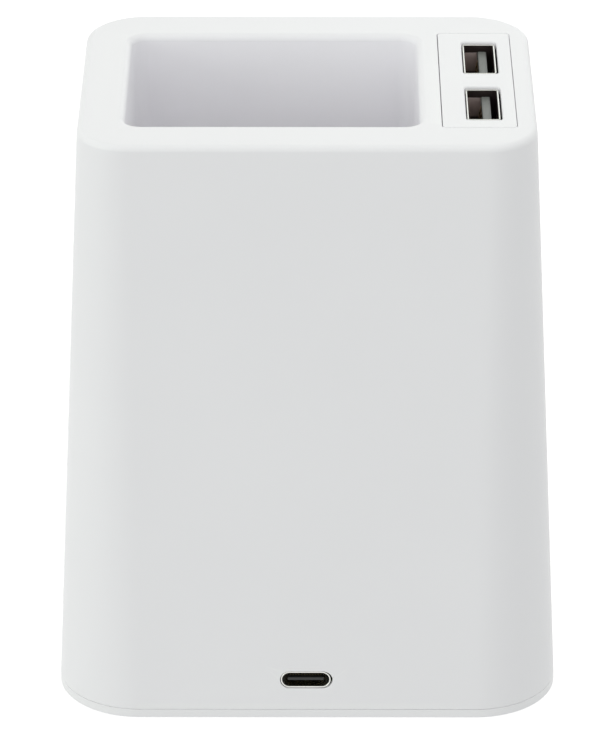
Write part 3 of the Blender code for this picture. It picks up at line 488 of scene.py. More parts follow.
body = {
    "height": 112.0, "baseWidth": 90.0, "topWidth": 78.6, "topDepth": 58.1, "backSetback": 0.7,
    "leanDegrees": 20, "ledgeHeight": 12.0, "slotDepth": 13.9, "wall": 2.2,
    "baseCorner": 14.8, "backTopCorner": 8.6, "topCorner": 10.5, "cornerSteps": 20,
    "topRound": 1.1, "toeRound": 1.2, "ledgeFillet": 1.5, "seamZ": 1.7, "seamRound": 0.1,
    "toeRings": (3.2, 5.6), "upperRings": (14.5, 40.0, 75.0, 106.5),
    "flatHalf": 8.0,   # half the strip of the back that keeps its shading even round the inlet
}
lip = {"thickness": 3.2, "height": 5.0, "width": 66.0, "round": 1.2, "root": 1.4}
well = {
    "width": 50.5, "length": 39.2, "centreX": -5.95, "backMargin": 9.2, "floor": 16.0, "corner": 2.8,
    "draftDegrees": 1.2, "wall": 1.8, "rimRound": 1.2, "floorRound": 3.0, "wallGap": 0.05,
    "ribShares": (-0.32, 0.0, 0.32), "ribThickness": 1.2, "ribFoot": 22.0,
}
recess = {
    "stripLedge": 1.2, "stripFloor": 1.3, "stripGaps": (0.13, 0.09), "stripGap": 0.2, "edgeRound": 0.1,
    "stripCorner": 0.9, "windowCorner": 1.0, "rebateGap": 0.1,
    "inletRound": 0.08, "inletGaps": (0.12, 0.34), "inletClearance": 0.13, "inletDrop": 0.1,
    "inletSkin": 0.9, "inletRoom": 1.0, "inletShift": (-0.25, -0.07),
}
panel = {
    "width": 54.0, "length": 86.0, "thickness": 1.2, "corner": 8.0, "middle": 53.5, "gap": 0.2, "seat": 2.0,
    "edgeRound": 0.25, "hookWidth": 6.0, "hookThickness": 1.0, "hookBarb": 0.7, "hookShares": (-0.28, 0.28),
    "hookSink": 0.05, "hookOverlap": 0.1, "hookReach": 0.3, "hookRounds": (0.2, 0.1, 0.3),
}
pad = {
    "width": 64.0, "length": 8.0, "recess": 0.8, "corner": 2.0, "gap": 0.2, "topRound": 0.4,
    "grooves": 6, "groovePitch": 1.1, "grooveWidth": 0.45, "grooveDepth": 0.3, "grooveMargin": 2.5,
    "grooveEdge": 0.1,
}
screwBoss = {"radius": 3.8, "padRadius": 3.2, "padHeight": 2.4, "bore": 1.3, "seatGap": 0.3, "pilotTop": 10.2}

lean = math.radians(body["leanDegrees"])
plateLow, plateHigh = boxMm("base_plate")
footDepth = 2 * plateHigh.y
modelPlace = worldPlace @ Matrix.Translation((0, -footDepth / 2, plateLow.z))


def shareAt(z, low, high):
    # a size of the body that changes evenly from its foot to its top
    return body[low] + (body[high] - body[low]) * (z / body["height"])


def backAt(z):
    return body["backSetback"] * z / body["height"]


def faceAt(z):
    return body["backSetback"] + body["topDepth"] + (body["height"] - z) * math.tan(lean)


def backArcs(z, inset):
    # the two back corners at height z, each with the point where the even strip between them ends
    half, back = shareAt(z, "baseWidth", "topWidth") / 2 - inset, backAt(z) + inset
    corner, steps = shareAt(z, "baseCorner", "backTopCorner") - inset, body["cornerSteps"]
    right = [(body["flatHalf"], back)] + quarterArc(half - corner, back + corner, corner, -90, steps)
    left = quarterArc(corner - half, back + corner, corner, 180, steps) + [(-body["flatHalf"], back)]
    return half, right, left


def frontArcs(half, front, corner, pull):
    return [
        quarterArc(side * (half - corner), front - corner, corner, start, body["cornerSteps"], pull)
        for side, start in ((1, 0), (-1, 90))
    ]


def bodyOutline(z, inset, flare=0):
    # corner arcs of the upper body at height z; a flare spreads its front towards the ledge
    half, right, left = backArcs(z, inset)
    front = faceAt(z) - inset / math.cos(lean)
    return [right, *frontArcs(half, front, body["topCorner"] - inset, -flare), left]


def toeOutline(z, inset, joinY, edge=0):
    # the same for the wider foot, with a point on each side where the upper body starts
    half, right, left = backArcs(z, inset)
    frontRight, frontLeft = frontArcs(half, footDepth - inset, body["baseCorner"] - inset, edge)
    return [right, [(half, joinY)], frontRight, frontLeft, [(-half, joinY)], left]


def ledgeFillet(steps=6):
    # (rise, spread) pairs of the hollow round between the ledge and the leaning face
    radius = body["ledgeFillet"]
    run = radius * math.tan(math.radians(45) - lean / 2)
    pairs = []
    for i in range(steps + 1):
        angle = -math.radians(90) - (math.radians(90) - lean) * i / steps
        rise = radius + radius * math.sin(angle)
        pairs.append((rise, run + radius * math.cos(angle) + rise * math.tan(lean)))
    return pairs


def bodyShape(inset, bottom, ledge, top, skin=False):
    # a closed form from the foot over the toe and ledge up to the rim; the skin's edges are rounded
    shape = bmesh.new()
    seam, edge, rim = (body[key] if skin else 0 for key in ("seamRound", "toeRound", "topRound"))
    joinY = faceAt(ledge) - inset / math.cos(lean) - (body["topCorner"] - inset)
    levels = [(bottom + rise, draw, 0) for draw, rise in reversed(roundOver(seam, 3))] if skin else []
    levels += [(z, 0, 0) for z in (bottom + seam, *(body["toeRings"] if skin else ()), ledge - edge)]
    levels += [(ledge - drop, 0, draw) for draw, drop in roundOver(edge)] if skin else []
    lower = None
    for z, draw, pull in levels:
        ring = [addRing(shape, points, z) for points in toeOutline(z, inset + draw, joinY, pull)]
        flat = sum(ring, [])
        if lower:
            joinRings(shape, lower, flat)
        else:
            shape.faces.new(flat[::-1])
        lower = flat
    backRight, rightJoin, toeRight, toeLeft, leftJoin, backLeft = ring
    steps = ledgeFillet() if skin else [(0, 0)]
    _, frontRightPoints, frontLeftPoints, _ = bodyOutline(ledge, inset, steps[0][1])
    frontRight = rightJoin + addRing(shape, frontRightPoints[1:], ledge)
    frontLeft = addRing(shape, frontLeftPoints[:-1], ledge) + leftJoin
    inner = (frontRight[1:] + frontLeft[:-1])[::-1]
    shape.faces.new(rightJoin + toeRight + toeLeft + leftJoin + inner)
    lower = backRight + frontRight + frontLeft + backLeft
    rings = [(ledge + rise, 0, spread) for rise, spread in steps[1:]]
    rings += [(z, 0, 0) for z in (*(body["upperRings"] if skin else ()), top - rim)]
    rings += [(top - drop, draw, 0) for draw, drop in roundOver(rim, 8)] if skin else []
    for z, draw, spread in rings:
        upper = addRing(shape, sum(bodyOutline(z, inset + draw, spread), []), z)
        joinRings(shape, lower, upper)
        lower = upper
    shape.faces.new(lower)
    return shape


wellBack = body["backSetback"] + well["backMargin"]
wellCentreY = wellBack + well["length"] / 2


def wellOutline(z, grow):
    narrowed = (body["height"] - z) * math.tan(math.radians(well["draftDegrees"]))
    spread = 2 * (grow - narrowed)
    size = (well["width"] + spread, well["length"] + spread, well["corner"] + max(grow, 0))
    return roundedOutline(*size, well["centreX"], wellCentreY, 10)


def wellRoom():
    floor, floorRound, rim = well["floor"], well["floorRound"], well["rimRound"]
    rings = [
        (wellOutline(floor + rise, -draw), floor + rise) for draw, rise in reversed(roundOver(floorRound))
    ]
    rings.append((wellOutline(floor + floorRound, 0), floor + floorRound))
    for draw, drop in [(0, rim)] + roundOver(rim, 8, flareTurn):
        rings.append((wellOutline(body["height"] - drop, draw), body["height"] - drop))
    rings.append((wellOutline(body["height"], rim), body["height"] + overrun))
    return loft(rings)


def screwPlaces():
    # the four base screws, each on the diagonal of its corner
    reach = body["baseCorner"] - body["wall"] - screwBoss["seatGap"] - screwBoss["padRadius"]
    along = reach * math.cos(math.radians(45))
    x = body["baseWidth"] / 2 - body["baseCorner"] + along
    back = body["baseCorner"] - along
    return [(side * x, y) for y in (back, footDepth - back) for side in (-1, 1)]


# the leaning face's own frame: its Y is up the face, and its Z comes out of it
faceZ = body["ledgeHeight"] + panel["middle"] * math.cos(lean)
facePlace = (
    modelPlace
    @ Matrix.Translation((0, faceAt(faceZ), faceZ))
    @ Matrix.Rotation(math.pi, 4, "Z")
    @ Matrix.Rotation(math.radians(90) - lean, 4, "X")
)

stripLow, stripHigh = boxMm("port_strip")
stripCentre, stripSize = (stripLow + stripHigh) / 2, stripHigh - stripLow
inletLow, inletHigh = boxMm("usb_c_shell")
inletCentre, inletSize = (inletLow + inletHigh) / 2, inletHigh - inletLow
inletMouth = backAt(inletCentre.z - plateLow.z) - footDepth / 2
# the inlet's own frame: its X is world X, its Y is up, and its Z comes out of the back face
shiftX, shiftZ = recess["inletShift"]
inletPlace = (
    worldPlace
    @ Matrix.Translation((inletCentre.x + shiftX, inletMouth, inletCentre.z + shiftZ))
    @ Matrix.Rotation(math.radians(90), 4, "X")
)


def makeHousing():
    top, ledge, skin, plateTop = body["height"], body["ledgeHeight"], body["wall"], base["thickness"]
    outer = bodyShape(0, body["seamZ"], ledge, top, True)
    core = bodyShape(skin, plateTop - overrun, ledge - skin, top - skin)
    bossFoot = plateTop + screwBoss["padHeight"] + screwBoss["seatGap"]
    keep = [loft([(wellOutline(z, well["wall"]), z) for z in (well["floor"] - well["wall"], top)])]
    pilots = []
    for x, y in screwPlaces():
        keep.append(rod(screwBoss["radius"], bossFoot, top, x, y, 24))
        pilots.append(rod(screwBoss["bore"], bossFoot - overrun, screwBoss["pilotTop"], x, y, 24))
    half = well["ribThickness"] / 2
    for share in well["ribShares"]:
        x = well["centreX"] + well["width"] * share
        keep.append(block((x - half, -overrun, well["ribFoot"]), (x + half, wellBack + well["wall"], top)))
    hollow = solidObject("hollow", core, modelPlace, cuts=keep)

    lipY = faceAt(ledge) + body["slotDepth"] + lip["thickness"] / 2
    outline = insetOutline(lip["width"], lip["thickness"], lip["thickness"] / 2, 0, lipY, 10)
    lipForm = softPrism(outline, ledge - lip["root"], ledge + lip["height"], 0, lip["round"], 6)
    openings = []

    def openUp(shape, place):
        openings.append(plainObject("opening", shape, place))

    # the strip's recess, and the window under it
    topWorld = plateLow.z + top
    leftGap, rightGap = recess["stripGaps"]
    outline = insetOutline(
        stripSize.x + leftGap + rightGap, stripSize.y + 2 * leftGap, recess["stripCorner"],
        stripCentre.x + (rightGap - leftGap) / 2, stripCentre.y,
    )
    openUp(flaredCut(outline, topWorld - recess["stripFloor"], topWorld, recess["edgeRound"]), worldPlace)
    gap, inward = 2 * recess["stripGap"], 2 * recess["stripLedge"]
    outline = insetOutline(
        stripSize.x + gap - inward, stripSize.y + gap - inward, recess["windowCorner"],
        stripCentre.x, stripCentre.y,
    )
    openUp(softPrism(outline, topWorld - skin - overrun, topWorld), worldPlace)

    # the inlet's mouth, and the pocket behind it
    leftGap, rightGap = recess["inletGaps"]
    clearance, room = recess["inletClearance"], recess["inletRoom"]
    outline = insetOutline(
        inletSize.x + leftGap + rightGap, inletSize.z + 2 * clearance, inletSize.z / 2 + clearance,
        (rightGap - leftGap) / 2, -recess["inletDrop"], 12,
    )
    openUp(flaredCut(outline, -skin - overrun, 0, recess["inletRound"]), inletPlace)
    outline = insetOutline(inletSize.x + 2 * room, inletSize.z + 2 * room, inletSize.z / 2 + room, steps=12)
    openUp(softPrism(outline, -skin - overrun, -recess["inletSkin"]), inletPlace)

    # the panel's rebate and window, and the pad's recess
    def panelOutline(grow, steps=8):
        width, length = panel["width"] + 2 * grow, panel["length"] + 2 * grow
        return insetOutline(width, length, panel["corner"] + grow, steps=steps)

    rebateFloor = -panel["thickness"] - recess["rebateGap"]
    openUp(flaredCut(panelOutline(panel["gap"], 16), rebateFloor, 0, panel["edgeRound"]), facePlace)
    openUp(softPrism(panelOutline(-panel["seat"]), -skin - overrun, 0), facePlace)
    outline = insetOutline(
        pad["width"] + 2 * pad["gap"], pad["length"] + 2 * pad["gap"], pad["corner"] + pad["gap"],
        0, faceAt(ledge) + body["slotDepth"] / 2,
    )
    openUp(flaredCut(outline, ledge - pad["recess"], ledge, recess["edgeRound"]), modelPlace)
    made = makePiece(
        "housing", "moulding", sparkMouldedAbs, modelPlace, outer, [lipForm],
        [hollow, wellRoom(), *pilots, *openings],
    )
    # the well's own wall takes the paler, cooler copy of the plastic: painted light and painted lavender
    # shade for the deep well
    made.data.materials.append(paintedWellLightAbs)
    middleY = wellCentreY - footDepth / 2
    reachX, reachY = (well[key] / 2 + well["wallGap"] for key in ("width", "length"))
    wellTop = topWorld - well["rimRound"]
    for face in made.data.polygons:
        x, y, z = face.center / mm
        if abs(x - well["centreX"]) < reachX and abs(y - middleY) < reachY and well["floor"] < z < wellTop:
            face.material_index = 1
    print("housing made,", len(made.data.polygons), "faces")


# Base plate: closes the housing from below, with screw pads, board posts and recesses for the feet

base = {
    "thickness": 2.1, "draft": 0.06, "edgeRound": 0.06,
    "flange": 1.65, "flangeEdge": 0.04, "flangeReach": 2.3,
    "rimInset": 2.5, "rimThickness": 1.3, "rimTop": 4.1,
    "padTop": 4.5, "seat": 2.4, "headBore": 2.6, "shankBore": 1.5, "shankFoot": 1.0, "boreRound": 0.25,
    "footRecess": 0.8, "footBore": 5.2, "postRadius": 2.6, "postTop": 4.57, "holeMargin": 3.5,
    "pegs": (2, 3), "pegRadius": 1.0, "pegTop": 6.77, "pegTip": 0.3,
}
footNodes = ["foot_1", "foot_2", "foot_3", "foot_4"]


def boardHoles():
    low, high = boxMm("main_board")
    margin = base["holeMargin"]
    ys = (low.y + margin + footDepth / 2, high.y - margin + footDepth / 2)
    return [(x, y) for y in ys for x in (low.x + margin, high.x - margin)]


def underCut(radius, high, x, y, sides=32):
    # a bore from below, rounded where it leaves the underside
    flare = base["boreRound"]
    mouth = [(radius + flare, -overrun), (radius + flare, 0), (radius + flare * arcShare, flare * arcShare)]
    return turned(mouth + [(radius, flare), (radius, high)], x, y, sides)


def makeBasePlate():
    joinY = footDepth / 2
    thickness, flange, edge, draft = (base[key] for key in ("thickness", "flange", "flangeEdge", "draft"))
    levels = [(draft + draw, rise) for draw, rise in reversed(roundOver(base["edgeRound"]))]
    levels += [(draft, base["edgeRound"]), (0, flange - edge), (edge, flange)]
    levels += [(base["flangeReach"], flange), (base["flangeReach"], thickness)]
    plate = loft([(sum(toeOutline(z, draw, joinY), []), z) for draw, z in levels])

    insets = (base["rimInset"], base["rimInset"] + base["rimThickness"])
    rimOuter, rimInner = (sum(toeOutline(thickness, inset, joinY), []) for inset in insets)
    rimRoom = prism(rimInner, thickness, base["rimTop"] + overrun)
    joins = [solidObject("rim", prism(rimOuter, thickness / 2, base["rimTop"]), modelPlace, cuts=[rimRoom])]
    holes = []
    for x, y in screwPlaces():
        joins.append(rod(screwBoss["padRadius"], thickness / 2, base["padTop"], x, y))
        holes.append(underCut(base["headBore"], base["seat"], x, y))
        holes.append(rod(base["shankBore"], base["shankFoot"], base["padTop"] + overrun, x, y, 24))
    for node in footNodes:
        x, y = middleXY(*boxMm(node))
        holes.append(underCut(base["footBore"], base["footRecess"], x, y + footDepth / 2, 48))
    radius, top, tip = base["pegRadius"], base["pegTop"], base["pegTip"]
    for number, (x, y) in enumerate(boardHoles(), 1):
        joins.append(rod(base["postRadius"], thickness / 2, base["postTop"], x, y, 32))
        if number in base["pegs"]:
            joins.append(turned([(radius, thickness), (radius, top - tip), (radius - tip, top)], x, y, 24))
        else:
            holes.append(rod(radius, thickness, top, x, y, 24))
    makePiece("base_plate", "moulding", sparkMouldedAbs, modelPlace, plate, joins, holes)
    print("base plate made")


# Feet: die-cut rubber discs with a shallow dish under them

foot = {"radius": 5.0, "edge": 0.4, "dishRadius": 3.4, "dishSlope": 0.5, "dish": 0.2}


def makeFeet():
    radius, edge, dishRadius = foot["radius"], foot["edge"], foot["dishRadius"]
    for node in footNodes:
        low, high = boxMm(node)
        profile = [
            (dishRadius - foot["dishSlope"], low.z + foot["dish"]), (dishRadius, low.z),
            (radius - edge, low.z), (radius - edge * arcShare, low.z + edge * arcShare),
            (radius, low.z + edge), (radius, high.z),
        ]
        disc = turned(profile, *middleXY(low, high), 64)
        makePiece(node, "disc", mouldedSilicone, worldPlace, disc)
    print("feet made")


# Port strip: the cover let into the top, with soft edges, two windows and its two posts

strip = {
    "thickness": 1.2, "corner": 0.8, "edgeRound": 0.12,
    "windowGap": 0.25, "windowNearGap": 0.9, "windowShift": 0.08, "windowRound": 0.28,
    "postRadius": 1.9, "postPitch": 5.8, "postBore": 0.8, "postBoreDepth": 6.0,
}
socket = {
    "metal": 0.3, "corner": 0.6, "rimRound": 0.12, "fingerShare": 0.8,
    # each window's depths, and each finger's line: how far in and how deep its points are
    "springPlaces": (-2.9, 2.9), "springHalf": 0.9, "springWindowHalf": 1.15, "springWindow": (3.0, 9.9),
    "springLine": [(0, 2.7), (0, 3.3), (0.35, 7.9), (0.42, 8.5), (0.2, 9.3)],
    "panelFrom": -2.35, "panelTo": -0.2, "panelGap": 0.2, "panelWindow": (1.45, 5.6),
    "panelLine": [(0, 1.15), (0, 1.5), (0.6, 4.7), (0.55, 4.95), (0, 5.4)],
    "paintedShadeSlope": 0.3,   # walls steeper than this share take the painted shade inside
    "tipDrop": 1.0, "blockHeight": 4.6, "blockCorner": 0.3, "blockRound": 0.15,
    "tongue": (30.07, 31.91), "tongueDraft": (0.1, 0.2), "tongueHalf": 5.55, "tongueFoot": 1.0,
    "draftLength": 3.0, "tipChamfer": 0.2, "grooveGap": 0.08, "grooveDepth": 0.32, "grooveTop": 0.1,
    "contactHalf": 0.47, "contactThickness": 0.22,
    "contactLine": [   # across from the tongue's side, and up from the contact's top
        (0.15, -12.1), (0.15, -6.45), (0.0, -4.15), (-0.22, -2.45),
        (-0.26, -1.95), (-0.12, -0.95), (0.2, -0.05),
    ],
}
socketNodes = ["usb_a_shell_1", "usb_a_shell_2"]
stripPosts = [(stripCentre.x + side * strip["postPitch"] / 2, stripCentre.y) for side in (-1, 1)]
# a section in Y and Z, drawn out along X
alongX = Matrix(((0, 0, 1, 0), (1, 0, 0, 0), (0, 1, 0, 0), (0, 0, 0, 1)))


def alongY(y):
    # the place of a section in X and Z, drawn out along -Y from y
    return worldPlace @ Matrix.Translation((0, y, 0)) @ Matrix.Rotation(math.radians(90), 4, "X")


def makePortStrip():
    top, foot = stripHigh.z, stripLow.z
    bottom = top - strip["thickness"]
    outline = insetOutline(stripSize.x, stripSize.y, strip["corner"], stripCentre.x, stripCentre.y)
    cover = softPrism(outline, bottom, top, 0, strip["edgeRound"])
    joins = [rod(strip["postRadius"], foot, bottom + strip["thickness"] / 2, x, y, 32) for x, y in stripPosts]
    boreTop = foot + strip["postBoreDepth"]
    cuts = [rod(strip["postBore"], foot - overrun, boreTop, x, y, 24) for x, y in stripPosts]
    gap, nearGap = strip["windowGap"], strip["windowNearGap"]
    for node in socketNodes:
        low, high = boxMm(node)
        window = insetOutline(
            high.x - low.x + 2 * gap, high.y - low.y + gap + nearGap, socket["corner"] + gap,
            (low.x + high.x) / 2 + strip["windowShift"], (low.y + high.y + gap - nearGap) / 2,
        )
        cuts.append(flaredCut(window, bottom - overrun, top, strip["windowRound"]))
    makePiece("port_strip", "moulding", sparkMouldedAbs, worldPlace, cover, joins, cuts)
    print("port strip made")


def makeSocketShell(node):
    low, high = boxMm(node)
    (x, y), top = middleXY(low, high), high.z
    width, length = high.x - low.x, high.y - low.y
    metal, rim = socket["metal"], socket["rimRound"]
    finger = metal * socket["fingerShare"]
    tube = softPrism(insetOutline(width, length, socket["corner"], x, y, 6), low.z, top, 0, rim)
    inner = insetOutline(width - 2 * metal, length - 2 * metal, socket["corner"] - metal, x, y, 6)
    cuts = [flaredCut(inner, low.z - overrun, top, rim)]
    layers = []

    def fingerLine(wall, side, points):
        return [(wall - side * draw, top - depth) for draw, depth in points]

    # the fingers and leaves take the sheet whose grey-brown tint is a painted reflection
    near, far = socket["springWindow"]
    half, windowHalf = socket["springHalf"], socket["springWindowHalf"]
    for side in (-1, 1):
        wall = x + side * (width - metal) / 2
        for offset in socket["springPlaces"]:
            at = y + offset
            cuts.append(block(
                (wall - metal, at - windowHalf, top - far), (wall + metal, at + windowHalf, top - near)
            ))
            spring = bentStrip(fingerLine(wall, side, socket["springLine"]), finger, -half, half)
            layers.append((plainObject("finger", spring, alongY(at)), reflectionTintedSheet))
    start, end, gap = x + socket["panelFrom"], x + socket["panelTo"], socket["panelGap"]
    near, far = socket["panelWindow"]
    for side in (-1, 1):
        wall = y + side * (length - metal) / 2
        cuts.append(block((start - gap, wall - metal, top - far), (end + gap, wall + metal, top - near)))
        leaf = bentStrip(fingerLine(wall, side, socket["panelLine"]), finger, start, end)
        layers.append((plainObject("finger", leaf, worldPlace @ alongX), reflectionTintedSheet))
    shell = solidObject("shell", tube, worldPlace, cuts=cuts)
    shellFaces = len(shell.data.polygons)
    made = layeredObject(node + "_folded", [(shell, tinPlatedSheet), *layers], worldPlace)
    # the shell's inward walls below its rim take the nearly black sheet: painted shade for the deep room
    made.data.materials.append(paintedShadeSheet)
    for face in made.data.polygons[:shellFaces]:
        outward = face.normal.x * (face.center.x / mm - x) + face.normal.y * (face.center.y / mm - y)
        if outward < 0 and abs(face.normal.z) < socket["paintedShadeSlope"] and face.center.z / mm < top - rim:
            face.material_index = 2
    dress(made, [node])


def makeSocketInside(number, node):
    low, high = boxMm(node)
    y, top = (low.y + high.y) / 2, high.z - socket["tipDrop"]
    insulator = f"usb_a_insulator_{number}"
    blockLow, blockHigh = boxMm(insulator)
    blockTop = (blockHigh.x, blockHigh.y, blockLow.z + socket["blockHeight"])
    backFoot = softBlock(blockLow, blockTop, socket["blockCorner"], socket["blockRound"])
    (left, right), (leftDraft, rightDraft) = socket["tongue"], socket["tongueDraft"]
    half, chamfer, foot = socket["tongueHalf"], socket["tipChamfer"], blockLow.z + socket["tongueFoot"]
    tipLeft, tipRight, drafted = left + leftDraft, right - rightDraft, top - socket["draftLength"]
    # in from the tip's side and down from its top, in chamfers
    bevel = [(0, 2), (0, 1), (arcShare, arcShare), (1, 0), (2, 0)]
    section = [(left, foot), (right, foot), (right, drafted)]
    section += [(tipRight - chamfer * draw, top - chamfer * drop) for draw, drop in bevel]
    section += [(tipLeft + chamfer * draw, top - chamfer * drop) for draw, drop in bevel[::-1]]
    section.append((left, drafted))
    stations = (-half, chamfer - half, half - chamfer, half)
    tongue = plainObject("tongue", loft([(section, along) for along in stations]), alongY(y))
    grooves = []
    gap = socket["grooveGap"]
    for place in range(1, 5):
        contact = f"usb_a_contact_{number}_{place}"
        contactLow, contactHigh = boxMm(contact)
        grooves.append(block(
            (left - overrun, contactLow.y - gap, blockLow.z - overrun),
            (left + socket["grooveDepth"], contactHigh.y + gap, contactHigh.z + socket["grooveTop"]),
        ))
        line = [(left + across, contactHigh.z + up) for across, up in socket["contactLine"]]
        spring = bentStrip(line, socket["contactThickness"], -socket["contactHalf"], socket["contactHalf"])
        at = alongY((contactLow.y + contactHigh.y) / 2)
        makePiece(contact, "spring", goldFlashedBronze, at, spring, smoothDegrees=50)
    # the grey nylon's paler edges on the tongue are a painted highlight
    makePiece(insulator, "moulding", greyNylon, worldPlace, backFoot, [tongue], grooves)


def makeSockets():
    for number, node in enumerate(socketNodes, 1):
        makeSocketShell(node)
        makeSocketInside(number, node)
    print("upright sockets made")


# Power inlet: a drawn shell round a thin tongue with its contacts

inlet = {
    "setback": 0.02, "metal": 0.25, "rimRound": 0.09, "seamHalf": 0.04, "plugGap": 0.1, "blockLength": 2.0,
    "tongueWidth": 6.5, "tongueThickness": 0.64, "tongueCorner": 0.12, "tongueTip": 0.22, "tongueDrop": 0.25,
    "contacts": 12, "contactPitch": 0.5, "contactHalf": 0.13, "contactProud": 0.03, "contactDrop": 1.0,
    "latchHalf": 0.225, "latchLength": 1.6, "latchShare": 0.7, "latchDrop": 0.25,
}


def makeInlet():
    mouth, back = -inlet["setback"], inletMouth - inletHigh.y
    width, height, metal = inletSize.x, inletSize.z, inlet["metal"]
    rim, proud = inlet["rimRound"], inlet["contactProud"]

    def ring(draw, steps):
        return insetOutline(width - 2 * draw, height - 2 * draw, height / 2 - draw, 0, 0, steps)

    tube = softPrism(ring(0, 12), back, mouth, 0, rim)
    bore = flaredCut(ring(metal, 12), back - overrun, mouth, rim)
    seam = block((-inlet["seamHalf"], -height, back - overrun), (inlet["seamHalf"], 0, mouth + overrun))
    makePiece("usb_c_shell", "drawn", tinPlatedSheet, inletPlace, tube, (), [bore, seam])

    plug = softPrism(ring(metal + inlet["plugGap"], 8), back, back + inlet["blockLength"])
    tip = mouth - inlet["tongueDrop"]
    half, thick = inlet["tongueWidth"] / 2, inlet["tongueThickness"] / 2
    tongueOutline = insetOutline(2 * half, 2 * thick, inlet["tongueCorner"], 0, 0, 4)
    tongue = softPrism(tongueOutline, back + overrun, tip, 0, inlet["tongueTip"])
    layers = [(solidObject("inlet_block", plug, inletPlace, [tongue]), blackNylon)]
    start, end = back + inlet["blockLength"] / 2, tip - inlet["contactDrop"]
    for i in range(inlet["contacts"]):
        x = (i - (inlet["contacts"] - 1) / 2) * inlet["contactPitch"]
        for y in (-thick, thick):
            low = (x - inlet["contactHalf"], y - proud, start)
            layers.append((block(low, (x + inlet["contactHalf"], y + proud, end)), goldFlashedBronze))
    # the latches take the same sheet with its painted reflection tint
    reach, latchHalf = thick * inlet["latchShare"], inlet["latchHalf"]
    for side in (-1, 1):
        x = side * (half - latchHalf + proud)
        low = (x - latchHalf, -reach, tip - inlet["latchLength"])
        layers.append((softBlock(low, (x + latchHalf, reach, tip - inlet["latchDrop"])), reflectionTintedSheet))
    makeLayered("usb_c_insulator", "moulding", inletPlace, layers)
    print("inlet made")


# Screws: pan heads with a cross recess over rolled threads

screwKinds = {
    "base_screw": {"head": (2.3, 1.6), "shank": 1.2, "pitch": 0.9, "count": 4},
    "board_screw": {"head": (2.0, 1.3), "shank": 0.9, "pitch": 0.7, "count": 2, "headUp": True},
    "port_board_screw": {"head": (2.0, 1.3), "shank": 0.7, "pitch": 0.6, "count": 2},
    "holder_screw": {"head": (1.8, 1.1), "shank": 0.9, "pitch": 0.7},
}
holderScrew = {"bearing": -5.15, "length": 3.6, "places": ((-20.95, -14.45), (20.95, 27.45))}
screwForm = {
    "crown": [(0.3, 1.0), (0.62, 0.95), (0.84, 0.8), (0.96, 0.6), (1.0, 0.38), (1.0, 0.06), (0.97, 0.0)],
    "sides": 40, "threadSteps": 6, "threadDepth": 0.16, "neck": 0.02, "tip": 0.3,
    "slot": 0.13, "slotEnd": 0.9, "arm": 0.62, "slotDepth": 0.45,   # shares of the head
}


def makeScrew(node, place, kind, length):
    # drawn with the head's bearing face at 0 and the tip up
    reach, height = kind["head"]
    shank, pitch = kind["shank"], kind["pitch"]
    sides, steps = screwForm["sides"], screwForm["threadSteps"]
    rings = [(circle(reach * across, 0, 0, sides), -height * up) for across, up in screwForm["crown"]]
    for i in range(int((length - shank) / pitch * steps) + 1):
        z = screwForm["neck"] + i * pitch / steps
        ring = []
        for k in range(sides):
            turn = k / sides
            wave = abs((z / pitch - turn) % 1 * 2 - 1)
            threadReach = shank * (1 - screwForm["threadDepth"] * wave)
            angle = 2 * math.pi * turn
            ring.append((threadReach * math.cos(angle), threadReach * math.sin(angle)))
        rings.append((ring, z))
    rings.append((circle(shank * screwForm["tip"], 0, 0, sides), length))
    slot, arm = reach * screwForm["slot"], reach * screwForm["arm"]
    cuts = [
        softPrism(
            insetOutline(2 * a, 2 * b, slot * screwForm["slotEnd"]),
            -height - overrun, -height * screwForm["slotDepth"],
        )
        for a, b in ((arm, slot), (slot, arm))
    ]
    makePiece(node, "pan_head", zincPlatedSteel, place, loft(rings), (), cuts, 40)


def makeScrews():
    flip = Matrix.Rotation(math.pi, 4, "X")
    for stem, kind in screwKinds.items():
        head, headUp = kind["head"][1], "headUp" in kind
        for number in range(1, kind.get("count", 0) + 1):
            node = f"{stem}_{number}"
            low, high = boxMm(node)
            bearing = high.z - head if headUp else low.z + head
            place = worldPlace @ Matrix.Translation((*middleXY(low, high), bearing))
            makeScrew(node, place @ flip if headUp else place, kind, high.z - low.z - head)
    for number, (x, y) in enumerate(holderScrew["places"], 1):
        place = facePlace @ Matrix.Translation((x, y, holderScrew["bearing"]))
        makeScrew(f"holder_screw_{number}", place, screwKinds["holder_screw"], holderScrew["length"])
    print("screws made")


# Phone panel and the coil stack behind it, drawn in the leaning face's frame

stack = {
    "coilUp": 6.5, "turns": 9, "turnPoints": 48,
    "innerRadius": 9.5, "pitch": 1.3, "wire": 0.85, "depth": 1.925,
    "ferriteFront": -2.65, "ferriteThickness": 0.8, "ferriteRadius": 22.0, "ferriteEdge": 0.12, "hole": 7.0,
    "holderFront": -3.65, "holderThickness": 1.4, "holderWidth": 46.5, "holderCorner": 3.0,
    "holderEdges": (0.3, 0.2), "passageBevel": (1.4, 0.4), "screwBore": 1.2,
    "grooves": (20.5, 12.5), "grooveWidth": 0.8, "grooveDepth": 0.25,
    "postRadius": 2.2, "postFoot": -3.55, "postReach": 20.95, "postBore": 1.0, "postBoreEnd": -0.84,
    "boredPosts": (1, 4), "hookX": 24.1, "hookFoot": -3.6,
}


